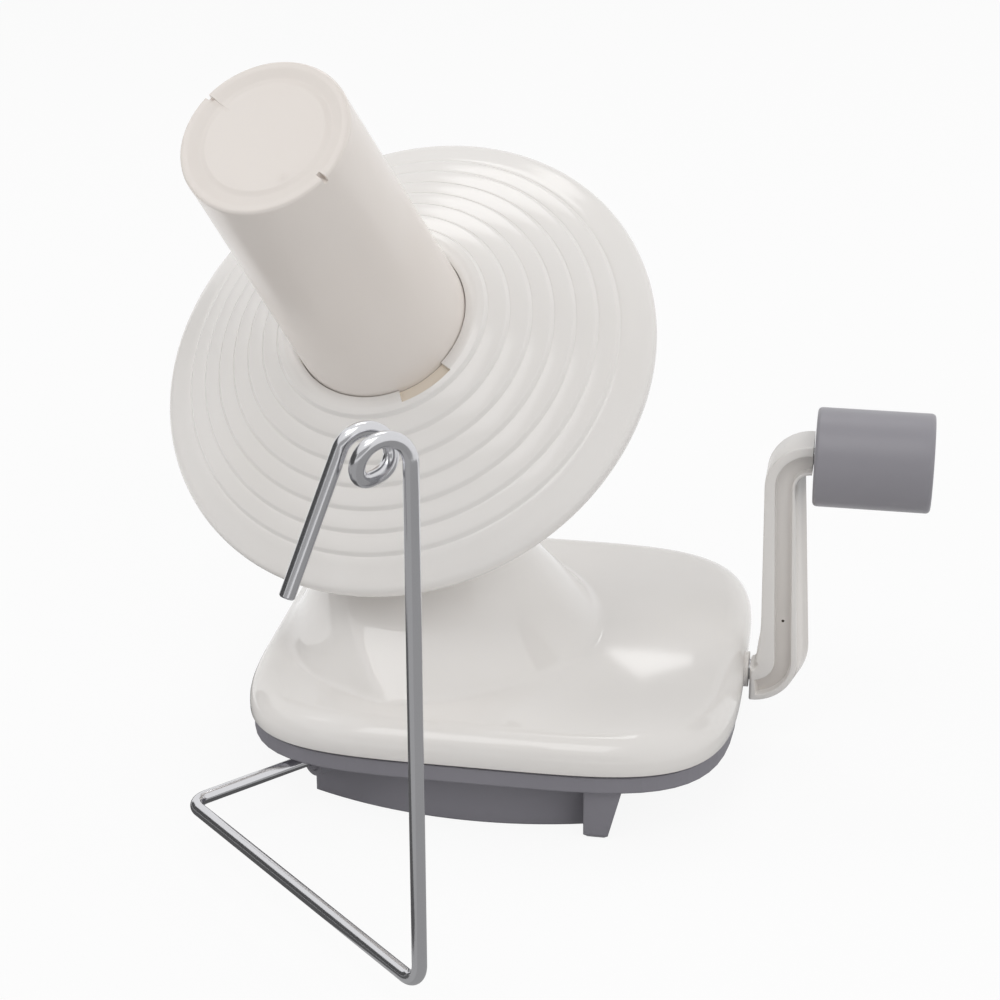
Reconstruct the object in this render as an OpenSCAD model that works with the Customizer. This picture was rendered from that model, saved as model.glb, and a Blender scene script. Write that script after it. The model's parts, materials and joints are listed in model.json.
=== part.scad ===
// Yarn ball winder: a crank turns a tilted head round a fixed post, and the head's bobbin spins as it goes.
// The origin is on the winding axis at table height. X runs along the crank shaft, Y to the back, Z up.

/* [Base] */
// Width of the base, along the crank shaft
base_w = 115.4; // [110:0.2:122]
// Depth of the base, front to back
base_d = 113.4; // [110:0.2:122]
// Distance from the winding axis to the middle of the base, along the crank shaft
base_shift = 25.8; // [24:0.2:28]
// Distance that the middle of the base lies in front of the crank shaft
base_setback = 1.6; // [0:0.2:3]
// Squareness of the base's outline, where 2 is an ellipse and more is squarer
base_power = 4.3; // [3.6:0.1:5.5]
// Height of the seam between the two shells, where the crank shaft lies
seam_z = 18; // [17.5:0.1:19]
// Height of the flat top of the cover
plate_z = 26; // [25:0.2:28]
// Wall of both shells
shell_wall = 2.2; // [1.8:0.1:2.6]
// Radius of the cover's top edge
edge_r = 6; // [4:0.2:6.6]
// Height of the lower shell's skirt
skirt_h = 4.5; // [4:0.1:6]
// Distance that the skirt lies inside the cover's outline
skirt_inset = 0.8; // [0.4:0.1:1.2]
// Height of the shadow groove along the seam
seam_gap = 0.7; // [0.3:0.1:1]
// Distance of the gear box's front and back from the front and back of the base
box_inset = 7.2; // [7:0.1:9]
// Radius of the bow of the gear box's front and back
box_bow = 100; // [90:1:120]
// Distance from the winding axis to the gear box's left end
box_left = 13; // [12:0.5:16]
// Distance from the winding axis to the gear box's right end
box_right = 51; // [46:0.5:54]
// Width of a foot where it leaves the skirt
foot_w = 8.8; // [7:0.2:11]
// Width of a foot's tip
foot_tip = 5.6; // [4:0.2:7]
// Depth of a foot, front to back
foot_d = 7; // [5:0.2:8]
// Distance from the front and back of the base to the outside of a foot
foot_inset = 3.4; // [2.5:0.1:5]
// Radius of the cover screws' heads
screw_head_r = 2.6; // [2.2:0.1:2.7]
// Radius of the cover screws' shanks
screw_r = 1.4; // [1:0.1:1.6]

/* [Cone on the cover] */
// Radius at which the cone meets the flat top
cone_r = 47; // [44:0.5:48]
// Radius that the cone loses for each millimetre of height
cone_slope = 0.92; // [0.86:0.01:0.96]
// Distance of the cone's steep left flank from the base's left edge
flank_gap = 7; // [6.7:0.1:8]
// Radius of the steep left flank at its foot
flank_r = 57; // [52:0.5:64]
// Radius that the steep left flank loses for each millimetre of height
flank_slope = 0.2; // [0.1:0.01:0.24]
// Height of the cone's mouth
mouth_z = 50; // [48:0.2:51]
// Radius of the mouth's hole
mouth_r = 14.5; // [13:0.2:15.5]

/* [Crank] */
// Diameter of the crank shaft
shaft_d = 5; // [4.4:0.1:5.4]
// Wall of the crank shaft's bushes
bush_wall = 1.7; // [1.3:0.1:2]
// Length of the outer bush, into the base
bush_l = 13; // [9:0.5:18]
// Distance that the outer bush shows outside the cover
neck_l = 0.7; // [0.6:0.1:1.6]
// Distance from the crank shaft to the grip's axis
crank_radius = 56.4; // [50:0.2:64]
// Lean of the arm towards the base
arm_lean = 2.5; // [0:0.1:4]
// Radius of the arm's lower bend
arm_bend = 7; // [6.6:0.1:8]
// Radius of the arm's upper bend
arm_top_bend = 6; // [5.8:0.1:7]
// Distance that the arm's foot lies below the crank shaft
arm_drop = 2; // [0:0.1:2]
// Width of the arm at the shaft
arm_w = 10.8; // [9.8:0.1:11]
// Width of the arm's channel
arm_channel = 3.8; // [3:0.1:4.4]
// Depth of the arm, front to back
arm_d = 11; // [10.2:0.1:12.5]
// Depth of the arm's channel
channel_d = 2.2; // [1.4:0.1:2.4]
// Share of its width that the arm keeps at the grip
arm_taper = 0.78; // [0.72:0.01:0.86]
// Radius of the grip
grip_r = 11.5; // [9:0.1:13]
// Length of the grip
grip_l = 26.8; // [22:0.2:34]
// Diameter of the grip's pin
grip_pin_d = 4; // [3:0.1:4.4]
// Rounding of the grip's ends
grip_edge = 1; // [0.4:0.1:2]

/* [Drive] */
// Teeth of the crown wheel on the crank shaft
wheel_teeth = 30; // [30:1:30]
// Teeth of the pinion on the carrier
pinion_teeth = 12; // [12:1:12]
// Tooth module of the crown wheel and pinion
tooth_module = 0.9; // [0.88:0.01:0.92]
// Thickness of the crown wheel's plate
wheel_t = 2.6; // [2:0.1:3.4]
// Width of the pinion's teeth, along the winding axis
pinion_face = 2.4; // [2:0.1:2.8]
// Diameter of the fixed post
post_d = 5; // [4.6:0.1:5.2]
// Radius of the post's boss
post_boss_r = 4; // [3.8:0.1:4.1]
// Height of the post's boss
post_boss_z = 22; // [20:0.2:24]
// Wall of the carrier's sleeve
sleeve_wall = 1.3; // [1.1:0.1:1.6]
// Teeth of the fixed sun gear
sun_teeth = 14; // [14:1:14]
// Teeth of the planet gear on the spindle
planet_teeth = 15; // [15:1:15]
// Distance from the crossing of the two axes to the back of the bevel teeth
bevel_l = 30; // [29:0.2:31]
// Length of the bevel teeth
bevel_face = 9; // [7:0.2:9.4]

/* [Winding head] */
// Height at which the spindle's axis crosses the winding axis
apex_z = 93.4; // [92:0.2:98]
// Tilt of the spindle
tilt = 42.8; // [41.5:0.1:44]
// Direction of the lean, as shown
lean_turn = 256.4; // [0:0.1:360]
// Radius of the carrier's plate
plate_r = 23; // [21:0.5:25]
// Radius of the upright part of the head
head_r = 16.5; // [16:0.1:18]
// Radius of the tilted part of the head
knuckle_r = 16; // [15.8:0.1:17.5]
// Wall of the head
head_wall = 2.2; // [1.6:0.1:2.5]
// Diameter of the spindle
spindle_d = 6; // [5:0.1:6.4]
// Radius of the head's boss round the spindle
boss_r = 7.8; // [6.8:0.1:8]
// Radius of the disc
disc_r = 60; // [52:0.5:64]
// Distance from the crossing of the axes down to the middle of the disc's rim
disc_drop = 3.3; // [2:0.1:5]
// Height of the disc, from the middle of its rim to its hole
disc_rise = 21; // [19:0.2:23]
// Wall of the disc
disc_wall = 2.6; // [2:0.1:3.2]
// Radius of the disc's rim bead
rim_r = 3; // [2.2:0.1:3.6]
// Number of ring steps on the disc
ring_count = 7; // [4:1:9]
// Height of a ring step
ring_step = 0.7; // [0.2:0.05:0.9]
// Radius of the first ring step
ring_first = 25; // [24.6:0.1:27]
// Distance from the last ring step to the disc's edge
ring_margin = 7.7; // [6:0.1:10]
// Angle across one of the two notches in the disc's hole
notch_angle = 32; // [20:1:40]
// Direction of a notch, seen along the spindle
notch_turn = 48; // [0:1:180]
// Depth of a notch
notch_d = 3; // [1.2:0.1:3.2]
// Radius of the bobbin's foot
bobbin_foot_r = 20.2; // [18:0.1:20.6]
// Radius of the bobbin's top
bobbin_top_r = 18.2; // [15:0.1:18.6]
// Length of the bobbin above the disc
bobbin_l = 73.3; // [60:0.1:82]
// Wall of the bobbin
bobbin_wall = 1.8; // [1.2:0.1:2.2]
// Width of the flat lip round the bobbin's top
bobbin_lip = 2.4; // [1:0.1:3]
// Depth of the recess in the bobbin's top
recess_d = 1.2; // [0.8:0.1:2]
// Width of the yarn slits in the bobbin's top
slit_w = 0.9; // [0.5:0.1:1.6]
// Depth of the yarn slits
slit_d = 3.4; // [3.2:0.1:4.2]
// Direction of the yarn slits, seen along the spindle
slit_turn = 64; // [0:1:180]

/* [Yarn guide] */
// Diameter of the guide's wire
wire_d = 3; // [2.6:0.1:3.6]
// Distance from the base's left edge to the mouth of the guide's socket
socket_side = 19.2; // [18.6:0.1:20]
// Distance from the base's front edge to the mouth of the guide's socket
socket_inset = 10.2; // [9.6:0.1:10.8]
// Height of the guide's socket
socket_z = 11; // [9:0.1:11.4]
// Direction in which the guide leaves its socket
socket_turn = 227.5; // [226:0.1:230]
// Length of wire in the socket
socket_l = 12; // [8:0.5:14]
// Radius of the socket's boss
socket_boss_r = 4.2; // [3.8:0.1:4.6]
// Length of the guide from the socket to its first bend
guide_out = 32.2; // [26:0.2:36]
// Length of the guide's low run
guide_run = 87.2; // [70:0.2:95]
// Height of the guide's upright
guide_h = 110.4; // [95:0.2:125]
// Radius of the guide's first bend
guide_bend_1 = 6; // [5:0.2:9]
// Radius of the guide's second bend
guide_bend_2 = 8; // [6:0.2:11]
// Radius of the guide's eye, to the middle of the wire
eye_r = 4.7; // [4.4:0.1:6]
// Turns of wire in the eye
eye_turns = 1.5; // [1.5:1:2.5]
// Distance from one turn of the eye to the next
eye_pitch = 6; // [4.4:0.1:7]
// Length of the wire's free end
free_l = 28.5; // [20:0.5:40]
// Lean of the wire's free end
free_lean = 25.8; // [10:0.2:40]

/* [Clearances] */
// Radial play of the running fits
play = 0.06; // [0.03:0.01:0.09]
// Gap between fixed pieces that are pushed together
seat = 0.02; // [0.01:0.01:0.04]
// Gap between moving pieces that don't bear on each other
gap = 0.4; // [0.3:0.05:0.5]

/* [Hidden] */
$fn = 64;

white_plastic = [0.87, 0.86, 0.84];
grey_plastic = [0.42, 0.41, 0.44];
grip_grey = [0.54, 0.53, 0.56];
gear_white = [0.93, 0.92, 0.88];
steel = [0.62, 0.62, 0.63];
bronze = [0.70, 0.55, 0.30];

// Thickness of the slices that a foot is stretched over
slice = 0.02;
// Points round the base's outline
outline_points = 56;
// Steps in the cover's rounded edge
edge_steps = 4;
// Overlap of pieces of one solid
bite = 0.5;
// Small overshoot of a cut past a face
past = 1;

base_left = base_shift - base_w / 2;
base_right = base_shift + base_w / 2;
base_front = -base_setback - base_d / 2;
base_back = -base_setback + base_d / 2;
skirt_z = seam_z - skirt_h;
floor_t = shell_wall;
roof_z = plate_z - shell_wall;
screw_boss_wall = 1.4;
screw_inset = skirt_inset + shell_wall + screw_head_r + gap;
screw_boss_r = screw_head_r + screw_boss_wall;
cover_boss_r = screw_r + 1.3 * screw_boss_wall;
screw_left_y = 20;
screw_corner = 17;
screw_head_h = 1.8;
screw_left_x = base_left + screw_inset;
screw_right_x = base_right - screw_corner;
screw_spots = [
    [screw_left_x, -screw_left_y],
    [screw_left_x, screw_left_y],
    [screw_right_x, base_front + screw_corner],
    [screw_right_x, base_back - screw_corner]
];
foot_x = box_right + gap;
socket_back = socket_l + shell_wall + 4;

bush_r = shaft_d / 2 + play + bush_wall;
tunnel_r = bush_r + shell_wall;
block_x = 17;
block_t = 7;
block_w = 2 * (bush_r + shell_wall);
shaft_stub = 4;
shaft_left = block_x - shaft_stub;
arm_x = base_right + neck_l + gap;
arm_heading = 90 + arm_lean;
arm_foot_z = seam_z - arm_drop;
arm_rise = crank_radius + arm_drop;
arm_straight = (arm_rise - (arm_bend + arm_top_bend) * (1 - cos(arm_heading))) / sin(arm_heading);
arm_lead = 0.7;
arm_land = 0.3;
channel_wall = 2;
bend_steps = 7;
bend_end = [arm_x + arm_lead + arm_bend * sin(arm_heading), arm_foot_z + arm_bend * (1 - cos(arm_heading))];
straight_end = bend_end + arm_straight * [cos(arm_heading), sin(arm_heading)];
top_bend_x = straight_end[0] + arm_top_bend * sin(arm_heading);
grip_z = seam_z + crank_radius;
arm_end = top_bend_x + arm_land;
grip_x = arm_end + gap;
shaft_right = arm_x + arm_lead + 0.8 * arm_bend;
pin_left = straight_end[0] - bite;
pin_head_lip = 1.7;
pin_head_r = grip_pin_d / 2 + pin_head_lip;
pin_head_t = 1.6;
pin_sink = 4;
pin_head_x = grip_x + grip_l - pin_sink;

wheel_r = wheel_teeth * tooth_module / 2;
pinion_r = pinion_teeth * tooth_module / 2;
tooth_pitch = PI * tooth_module;
wheel_addendum = 0.68 * tooth_module;
wheel_tooth_h = 2.1 * tooth_module;
wheel_tip_x = pinion_r - wheel_addendum;
wheel_face_x = wheel_tip_x + wheel_tooth_h;
wheel_rim = 1.7;
wheel_hub_r = 6;
pinion_z = seam_z + wheel_r;
pinion_tip_r = pinion_r + 0.78 * tooth_module;
pinion_root_r = pinion_r - 1.1 * tooth_module;
washer_t = 1;
washer_gap = 0.1;
post_r = post_d / 2;
sleeve_z = post_boss_z + washer_t + washer_gap;
sleeve_r = post_r + play + sleeve_wall;
collar_r = mouth_r - gap;
collar_h = 4;
plate_bottom = mouth_z + gap;
plate_t = 2.6;
head_z = plate_bottom + plate_t;

sun_angle = atan(sin(tilt) / (planet_teeth / sun_teeth + cos(tilt)));
planet_angle = tilt - sun_angle;
sun_pitch_r = bevel_l * sin(sun_angle);
planet_pitch_r = bevel_l * sin(planet_angle);
bevel_module = 2 * sun_pitch_r / sun_teeth;
sun_back = bevel_l * cos(sun_angle);
planet_back = bevel_l * cos(planet_angle);
bevel_shrink = (bevel_l - bevel_face) / bevel_l;
sun_hub_h = 4;
sun_hub_r = 7;
clip_t = 1.1;
clip_wall = 1.6;
post_tip = 0.3;
post_top_z = apex_z - sun_back * bevel_shrink + clip_t + post_tip;
planet_hub_h = 1.2;
planet_hub_r = 6;
sun_cavity_r = head_r - head_wall;
planet_cavity_r = knuckle_r - head_wall;
head_room = 1;
head_top_z = post_top_z + head_room + head_wall;
planet_front = -planet_back * bevel_shrink;
bush_flange_t = 0.9;
boss_low = planet_front + gap + bush_flange_t;
boss_high = 6.4;
knuckle_high = planet_front + 3;
spindle_r = spindle_d / 2;
spindle_bush_wall = 1.8;
spindle_bush_l = 9;
spindle_bush_r = spindle_r + play + spindle_bush_wall;
flange_lip = 1.2;
spindle_low = -planet_back - planet_hub_h - clip_t - 0.9;
knuckle_low = spindle_low - 3;
cap_t = 2.4;
cap_lip = 1.5;
cap_bevel = 1.2;
cap_slack = 0.1;
cap_screw_r = 1;
cap_head_r = 1.9;
cap_head_h = 1.2;
cap_screw_l = 4.5;
cap_ear_r = cap_screw_r + 1.5;
cap_ear_h = 8;
cap_screw_ring = knuckle_r + 1.6;
plate_screw_r = 1.4;
plate_screw_l = 3.2;
plate_ear_r = plate_screw_r + 1.8;
plate_ear_h = 5;
plate_screw_ring = head_r + 2.6;

hole_s = disc_rise - disc_drop;
collar_drop = 3.2;
seat_s = hole_s - collar_drop;
foot_gap = 0.4;
disc_hole_r = bobbin_foot_r + foot_gap;
brow = 2.6;
brow_r = disc_hole_r + brow;
brim_share = 1.05;
brim_s = brim_share * rim_r - disc_drop;
edge_cut = 0.4;
hub_slack = 0.15;
hub_flange_t = 3;
hub_bottom_s = boss_high + bush_flange_t + hub_slack;
hub_flange_r = disc_hole_r + 4;
hub_neck_r = spindle_r + 5;
hub_flare = 2;
spigot_h = 7.5;
spigot_r = bobbin_foot_r - bobbin_wall - hub_slack;
spigot_taper = 0.6;
spigot_slot = 2;
hub_head_r = spindle_r + 1.5;
spindle_top = seat_s + spigot_h - 2;
bobbin_top_s = hole_s + bobbin_l;
bobbin_flare = (bobbin_foot_r - bobbin_top_r) / bobbin_l;
bobbin_rim = 1.2;
bobbin_draft = 1;
rim_share = 0.35;
slit_l = 7.6;

wire_r = wire_d / 2;
wire_sides = 12;
eye_steps = 36;
guide_bend_steps = 8;
wire_lap = 2;
wire_step = 0.08;
bush_lip = 0.8;
guide_bush_wall = 1.2;
guide_e = [cos(socket_turn), sin(socket_turn), 0];
guide_d = [-sin(socket_turn), cos(socket_turn), 0];
guide_up = [0, 0, 1];
socket_mouth = [base_left + socket_side, base_front + socket_inset, socket_z];
guide_corner_1 = socket_mouth + guide_out * guide_e;
guide_corner_2 = guide_corner_1 + guide_run * guide_d;
eye_center = guide_corner_2 + guide_h * guide_up + eye_r * guide_e;
eye_end_turn = 360 * eye_turns;
guide_bush_r = wire_r + play + guide_bush_wall;

// Helpers

function polar(r, turn) = [r * cos(turn), r * sin(turn)];

function unit(v) = v / norm(v);

// A squarish outline with round corners
function squircle(w, d, power) = [
    for (i = [0:outline_points - 1])
        let (c = cos(360 * i / outline_points), s = sin(360 * i / outline_points))
            [w / 2 * sign(c) * pow(abs(c), 2 / power), d / 2 * sign(s) * pow(abs(s), 2 / power)]
];

// A gear's outline with a tooth on the X axis, with tooth widths as shares of the pitch
function gear_outline(teeth, root, tip, root_share, tip_share) = [
    for (i = [0:teeth - 1])
        for (corner = [[root, -root_share], [tip, -tip_share], [tip, tip_share], [root, root_share]])
            polar(corner[0], 360 / teeth * (i + corner[1] / 2))
];

// Corners of the faces of a tube that joins rings of points, closed at both ends
function tube_faces(rings, sides) = concat(
    [[for (j = [0:sides - 1]) j]],
    [
        for (i = [0:rings - 2])
            for (j = [0:sides - 1])
                let (a = i * sides + j, b = i * sides + (j + 1) % sides)
                    [a, a + sides, b + sides, b]
    ],
    [[for (j = [sides - 1:-1:0]) (rings - 1) * sides + j]]
);

// The ring of points round a path's point, square to the path
function wire_ring(place, along, r) =
    let (
        across = unit(cross(unit(guide_e + guide_d + guide_up), along)),
        other = cross(along, across)
    )
        [for (j = [0:wire_sides - 1]) place + r * (cos(360 * j / wire_sides) * across
            + sin(360 * j / wire_sides) * other)];

module base_outline(inset) {
    translate([base_shift, -base_setback])
        polygon(squircle(base_w - 2 * inset, base_d - 2 * inset, base_power));
}

// The base's outline at a height, drawn in by an inset
function base_ring(inset, z) = [
    for (q = squircle(base_w - 2 * inset, base_d - 2 * inset, base_power))
        [q[0] + base_shift, q[1] - base_setback, z]
];

// A plate with the base's outline and a rounded top edge
module rounded_plate(inset, low, high, edge) {
    rings = concat(
        [base_ring(inset, low)],
        [
            for (k = [0:edge_steps])
                let (turn = 90 * k / edge_steps)
                    base_ring(inset + edge * (1 - cos(turn)), high - edge * (1 - sin(turn)))
        ]
    );
    polyhedron(points = [for (ring = rings) each ring], faces = tube_faces(len(rings), outline_points));
}

// The cone round the winding axis, cut steeper on the left, drawn in by a wall's thickness
module cone_solid(wall, low, high) {
    cone_in = wall * sqrt(1 + cone_slope * cone_slope);
    flank_in = wall * sqrt(1 + flank_slope * flank_slope);
    flank_x = base_left + flank_gap + flank_r;
    intersection() {
        translate([0, 0, low])
            cylinder(
                h = high - low,
                r1 = cone_r - cone_in - (low - plate_z) * cone_slope,
                r2 = cone_r - cone_in - (high - plate_z) * cone_slope
            );
        translate([flank_x, 0, low])
            cylinder(
                h = high - low,
                r1 = flank_r - flank_in - (low - plate_z) * flank_slope,
                r2 = flank_r - flank_in - (high - plate_z) * flank_slope
            );
    }
}

module along_crank(x, z = seam_z) {
    translate([x, 0, z])
        rotate([0, 90, 0])
            children();
}

module in_socket() {
    translate(socket_mouth)
        rotate([0, 0, socket_turn])
            rotate([0, 90, 0])
                children();
}

module in_spindle_frame() {
    translate([0, 0, apex_z])
        rotate([0, 0, lean_turn])
            rotate([0, tilt, 0])
                children();
}

// The object's own frame, for pieces drawn inside in_spindle_frame()
module from_spindle_frame() {
    rotate([0, -tilt, 0])
        rotate([0, 0, -lean_turn])
            translate([0, 0, -apex_z])
                children();
}

// Bevel teeth that run from their back towards the crossing of the axes at the origin
module bevel_teeth(teeth, pitch_r, back) {
    translate([0, 0, -back])
        linear_extrude(height = back * (1 - bevel_shrink), scale = bevel_shrink)
            polygon(gear_outline(
                teeth,
                pitch_r - 0.85 * bevel_module,
                pitch_r + 0.55 * bevel_module,
                0.50,
                0.20
            ));
}

module pan_screw(head_radius, head_height, shank_radius, length) {
    cylinder(h = head_height, r = head_radius);
    translate([0, 0, head_height - bite])
        cylinder(h = length - head_height + bite, r = shank_radius);
}

// Fixed pieces of the base

module foot(side) {
    y = side < 0 ? base_front + foot_inset : base_back - foot_inset - foot_d;
    hull() {
        translate([foot_x, y, skirt_z + bite])
            cube([foot_w, foot_d, slice]);
        translate([foot_x, y + foot_d / 8, foot_tip / 6])
            cube([foot_tip, foot_d * 3 / 4, slice]);
        translate([foot_x + foot_tip / 6, y + foot_d / 4, 0])
            cube([foot_tip * 2 / 3, foot_d / 2, slice]);
    }
}

// Front and back are bows, whose middles lie beyond the base's middle
module gear_box(inset, low, high) {
    bow_y = box_bow + box_inset - base_d / 2;
    translate([0, -base_setback, low])
        linear_extrude(high - low)
            intersection() {
                translate([base_shift, bow_y])
                    circle(r = box_bow - inset);
                translate([base_shift, -bow_y])
                    circle(r = box_bow - inset);
                translate([inset - box_left, -base_d / 2])
                    square([box_left + box_right - 2 * inset, base_d]);
            }
}

module base_lower() {
    color(grey_plastic)
        difference() {
            union() {
                difference() {
                    union() {
                        translate([0, 0, skirt_z])
                            linear_extrude(skirt_h)
                                base_outline(skirt_inset);
                        gear_box(0, 0, skirt_z + bite);
                        along_crank(box_right - bite)
                            cylinder(h = base_right - skirt_inset - shell_wall - box_right, r = tunnel_r);
                    }
                    translate([0, 0, skirt_z + floor_t])
                        linear_extrude(skirt_h)
                            base_outline(skirt_inset + shell_wall);
                    gear_box(shell_wall, floor_t, seam_z);
                    along_crank(block_x + block_t)
                        cylinder(h = base_right - bush_l - block_x - block_t, r = bush_r);
                    translate([base_left, base_front, seam_z])
                        cube([base_w, base_d, tunnel_r + past]);
                }
                translate([0, 0, floor_t / 2])
                    cylinder(h = post_boss_z - floor_t / 2, r = post_boss_r);
                translate([block_x, -block_w / 2, floor_t / 2])
                    cube([block_t, block_w, seam_z + block_w / 2 - floor_t / 2]);
                for (spot = screw_spots)
                    translate([spot[0], spot[1], skirt_z])
                        cylinder(h = skirt_h, r = screw_boss_r);
                for (side = [-1, 1])
                    foot(side);
                intersection() {
                    in_socket()
                        translate([0, 0, -socket_back])
                            cylinder(h = socket_back, r = socket_boss_r);
                    linear_extrude(skirt_z + floor_t)
                        base_outline(0);
                }
            }
            difference() {
                translate([base_left - past, base_front - past, seam_z - seam_gap])
                    cube([base_w + 2 * past, base_d + 2 * past, seam_gap + past]);
                translate([0, 0, skirt_z])
                    linear_extrude(skirt_h + tunnel_r + block_w)
                        base_outline(skirt_inset + shell_wall / 2);
            }
            translate([0, 0, floor_t])
                cylinder(h = post_boss_z, r = post_r + seat);
            along_crank(block_x - past)
                cylinder(h = block_t + 2 * past, r = bush_r + seat);
            along_crank(base_right - bush_l)
                cylinder(h = bush_l + past, r = bush_r + seat);
            for (spot = screw_spots)
                translate([spot[0], spot[1], skirt_z - past]) {
                    cylinder(h = screw_head_h + past, r = screw_head_r + seat);
                    cylinder(h = skirt_h + 2 * past, r = screw_r + seat);
                }
            in_socket()
                translate([0, 0, -socket_l - gap])
                    cylinder(h = socket_l + gap + past, r = guide_bush_r + seat);
        }
}

module base_cover() {
    color(white_plastic)
        difference() {
            union() {
                difference() {
                    union() {
                        rounded_plate(0, seam_z, plate_z, edge_r);
                        cone_solid(0, plate_z - shell_wall / 2, mouth_z);
                    }
                    rounded_plate(shell_wall, seam_z - past, roof_z, edge_r - shell_wall);
                    cone_solid(shell_wall, roof_z - past, mouth_z - shell_wall);
                }
                for (spot = screw_spots)
                    translate([spot[0], spot[1], seam_z])
                        cylinder(h = roof_z + bite / 2 - seam_z, r = cover_boss_r);
            }
            translate([0, 0, mouth_z - 2 * shell_wall])
                cylinder(h = 3 * shell_wall, r = mouth_r);
            along_crank(base_right - bush_l)
                cylinder(h = bush_l + past, r = bush_r + seat);
            for (spot = screw_spots)
                translate([spot[0], spot[1], seam_z - past])
                    cylinder(h = roof_z - seam_z + past, r = screw_r + seat);
        }
}

module cover_screws() {
    color(steel)
        for (spot = screw_spots)
            translate([spot[0], spot[1], skirt_z])
                pan_screw(screw_head_r, screw_head_h, screw_r, roof_z - skirt_z - gap);
}

module center_post() {
    color(steel)
        translate([0, 0, floor_t])
            cylinder(h = post_top_z - floor_t, r = post_r);
}

module thrust_washer() {
    color(bronze)
        translate([0, 0, post_boss_z])
            difference() {
                cylinder(h = washer_t, r = sleeve_r);
                translate([0, 0, -past])
                    cylinder(h = washer_t + 2 * past, r = post_r + seat);
            }
}

module sun_gear() {
    color(gear_white)
        translate([0, 0, apex_z])
            difference() {
                union() {
                    rotate([0, 0, lean_turn + 180])
                        bevel_teeth(sun_teeth, sun_pitch_r, sun_back);
                    translate([0, 0, -sun_back - sun_hub_h])
                        cylinder(h = sun_hub_h + bite, r = sun_hub_r);
                }
                translate([0, 0, -sun_back - sun_hub_h - past])
                    cylinder(h = sun_back, r = post_r + seat);
            }
}

module sun_clip() {
    color(steel)
        translate([0, 0, apex_z - sun_back * bevel_shrink])
            difference() {
                cylinder(h = clip_t, r = post_r + clip_wall);
                translate([0, 0, -past])
                    cylinder(h = clip_t + 2 * past, r = post_r + seat);
            }
}

module crank_bush(x, length) {
    along_crank(x)
        difference() {
            cylinder(h = length, r = bush_r);
            translate([0, 0, -past])
                cylinder(h = length + 2 * past, r = shaft_d / 2 + play);
        }
}

module crank_bush_outer() {
    color(white_plastic)
        crank_bush(base_right - bush_l, bush_l + neck_l);
}

module crank_bush_inner() {
    color(bronze)
        crank_bush(block_x, block_t);
}

module guide_bush() {
    color(grey_plastic)
        in_socket()
            translate([0, 0, -socket_l - gap])
                difference() {
                    cylinder(h = socket_l + gap + bush_lip, r = guide_bush_r);
                    translate([0, 0, gap])
                        cylinder(h = socket_l + 2 * past, r = wire_r + play);
                    translate([0, 0, -past])
                        cylinder(h = 2 * past, r = wire_r / 2);
                }
}

// Pieces that turn with the crank

module crank_shaft() {
    color(steel)
        along_crank(shaft_left)
            cylinder(h = shaft_right - shaft_left, r = shaft_d / 2);
}

module drive_wheel() {
    color(gear_white)
        along_crank(wheel_face_x)
            difference() {
                union() {
                    cylinder(h = wheel_t, r = wheel_r + wheel_rim);
                    cylinder(h = block_x - gap - wheel_face_x, r = wheel_hub_r);
                    for (i = [0:wheel_teeth - 1])
                        rotate([0, 0, 360 / wheel_teeth * i])
                            translate([wheel_r - wheel_rim, 0, 0])
                                rotate([90, 0, 90])
                                    linear_extrude(2 * wheel_rim)
                                        wheel_tooth();
                }
                translate([0, 0, shaft_left - wheel_face_x - seat])
                    cylinder(h = block_x, r = shaft_d / 2 + seat);
                translate([0, 0, -past])
                    cylinder(h = block_x, r = screw_r + seat);
                translate([0, 0, -past])
                    cylinder(h = screw_head_h + past, r = screw_head_r + seat);
            }
}

module wheel_tooth() {
    polygon([
        [-0.25 * tooth_pitch, bite],
        [0.25 * tooth_pitch, bite],
        [0.11 * tooth_pitch, -wheel_tooth_h],
        [-0.11 * tooth_pitch, -wheel_tooth_h]
    ]);
}

module wheel_screw() {
    color(steel)
        along_crank(wheel_face_x)
            pan_screw(screw_head_r, screw_head_h, screw_r, shaft_left - wheel_face_x - seat);
}

// The arm's path from a start: places along it in X and Z, with the direction of travel
function arm_path(start) = concat(
    [[start, arm_foot_z, 0]],
    [
        for (k = [0:bend_steps])
            let (h = arm_heading * k / bend_steps, x = arm_x + arm_lead + arm_bend * sin(h))
                if (x > start) [x, arm_foot_z + arm_bend * (1 - cos(h)), h]
    ],
    [
        for (k = [0:bend_steps])
            let (h = arm_heading * (1 - k / bend_steps))
                [top_bend_x - arm_top_bend * sin(h), grip_z - arm_top_bend * (1 - cos(h)), h]
    ],
    [[arm_end, grip_z, 0]]
);

// The arm's outline from the side, as wide as given at the shaft and narrower at the grip
function arm_outline(w, taper, start) =
    let (
        stops = arm_path(start),
        halves = [for (stop = stops) w / 2 * (1 - (1 - taper) * (stop[1] - arm_foot_z) / arm_rise)],
        n = len(stops)
    )
        concat(
            [
                for (i = [0:n - 1])
                    [stops[i][0] - halves[i] * sin(stops[i][2]), stops[i][1] + halves[i] * cos(stops[i][2])]
            ],
            [
                for (i = [n - 1:-1:0])
                    [stops[i][0] + halves[i] * sin(stops[i][2]), stops[i][1] - halves[i] * cos(stops[i][2])]
            ]
        );

// A bar along the arm's path from a start, between two depths counted from front to back
module arm_bar(w, taper, start, front, back) {
    translate([0, back, 0])
        rotate([90, 0, 0])
            linear_extrude(back - front)
                polygon(arm_outline(w, taper, start));
}

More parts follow.
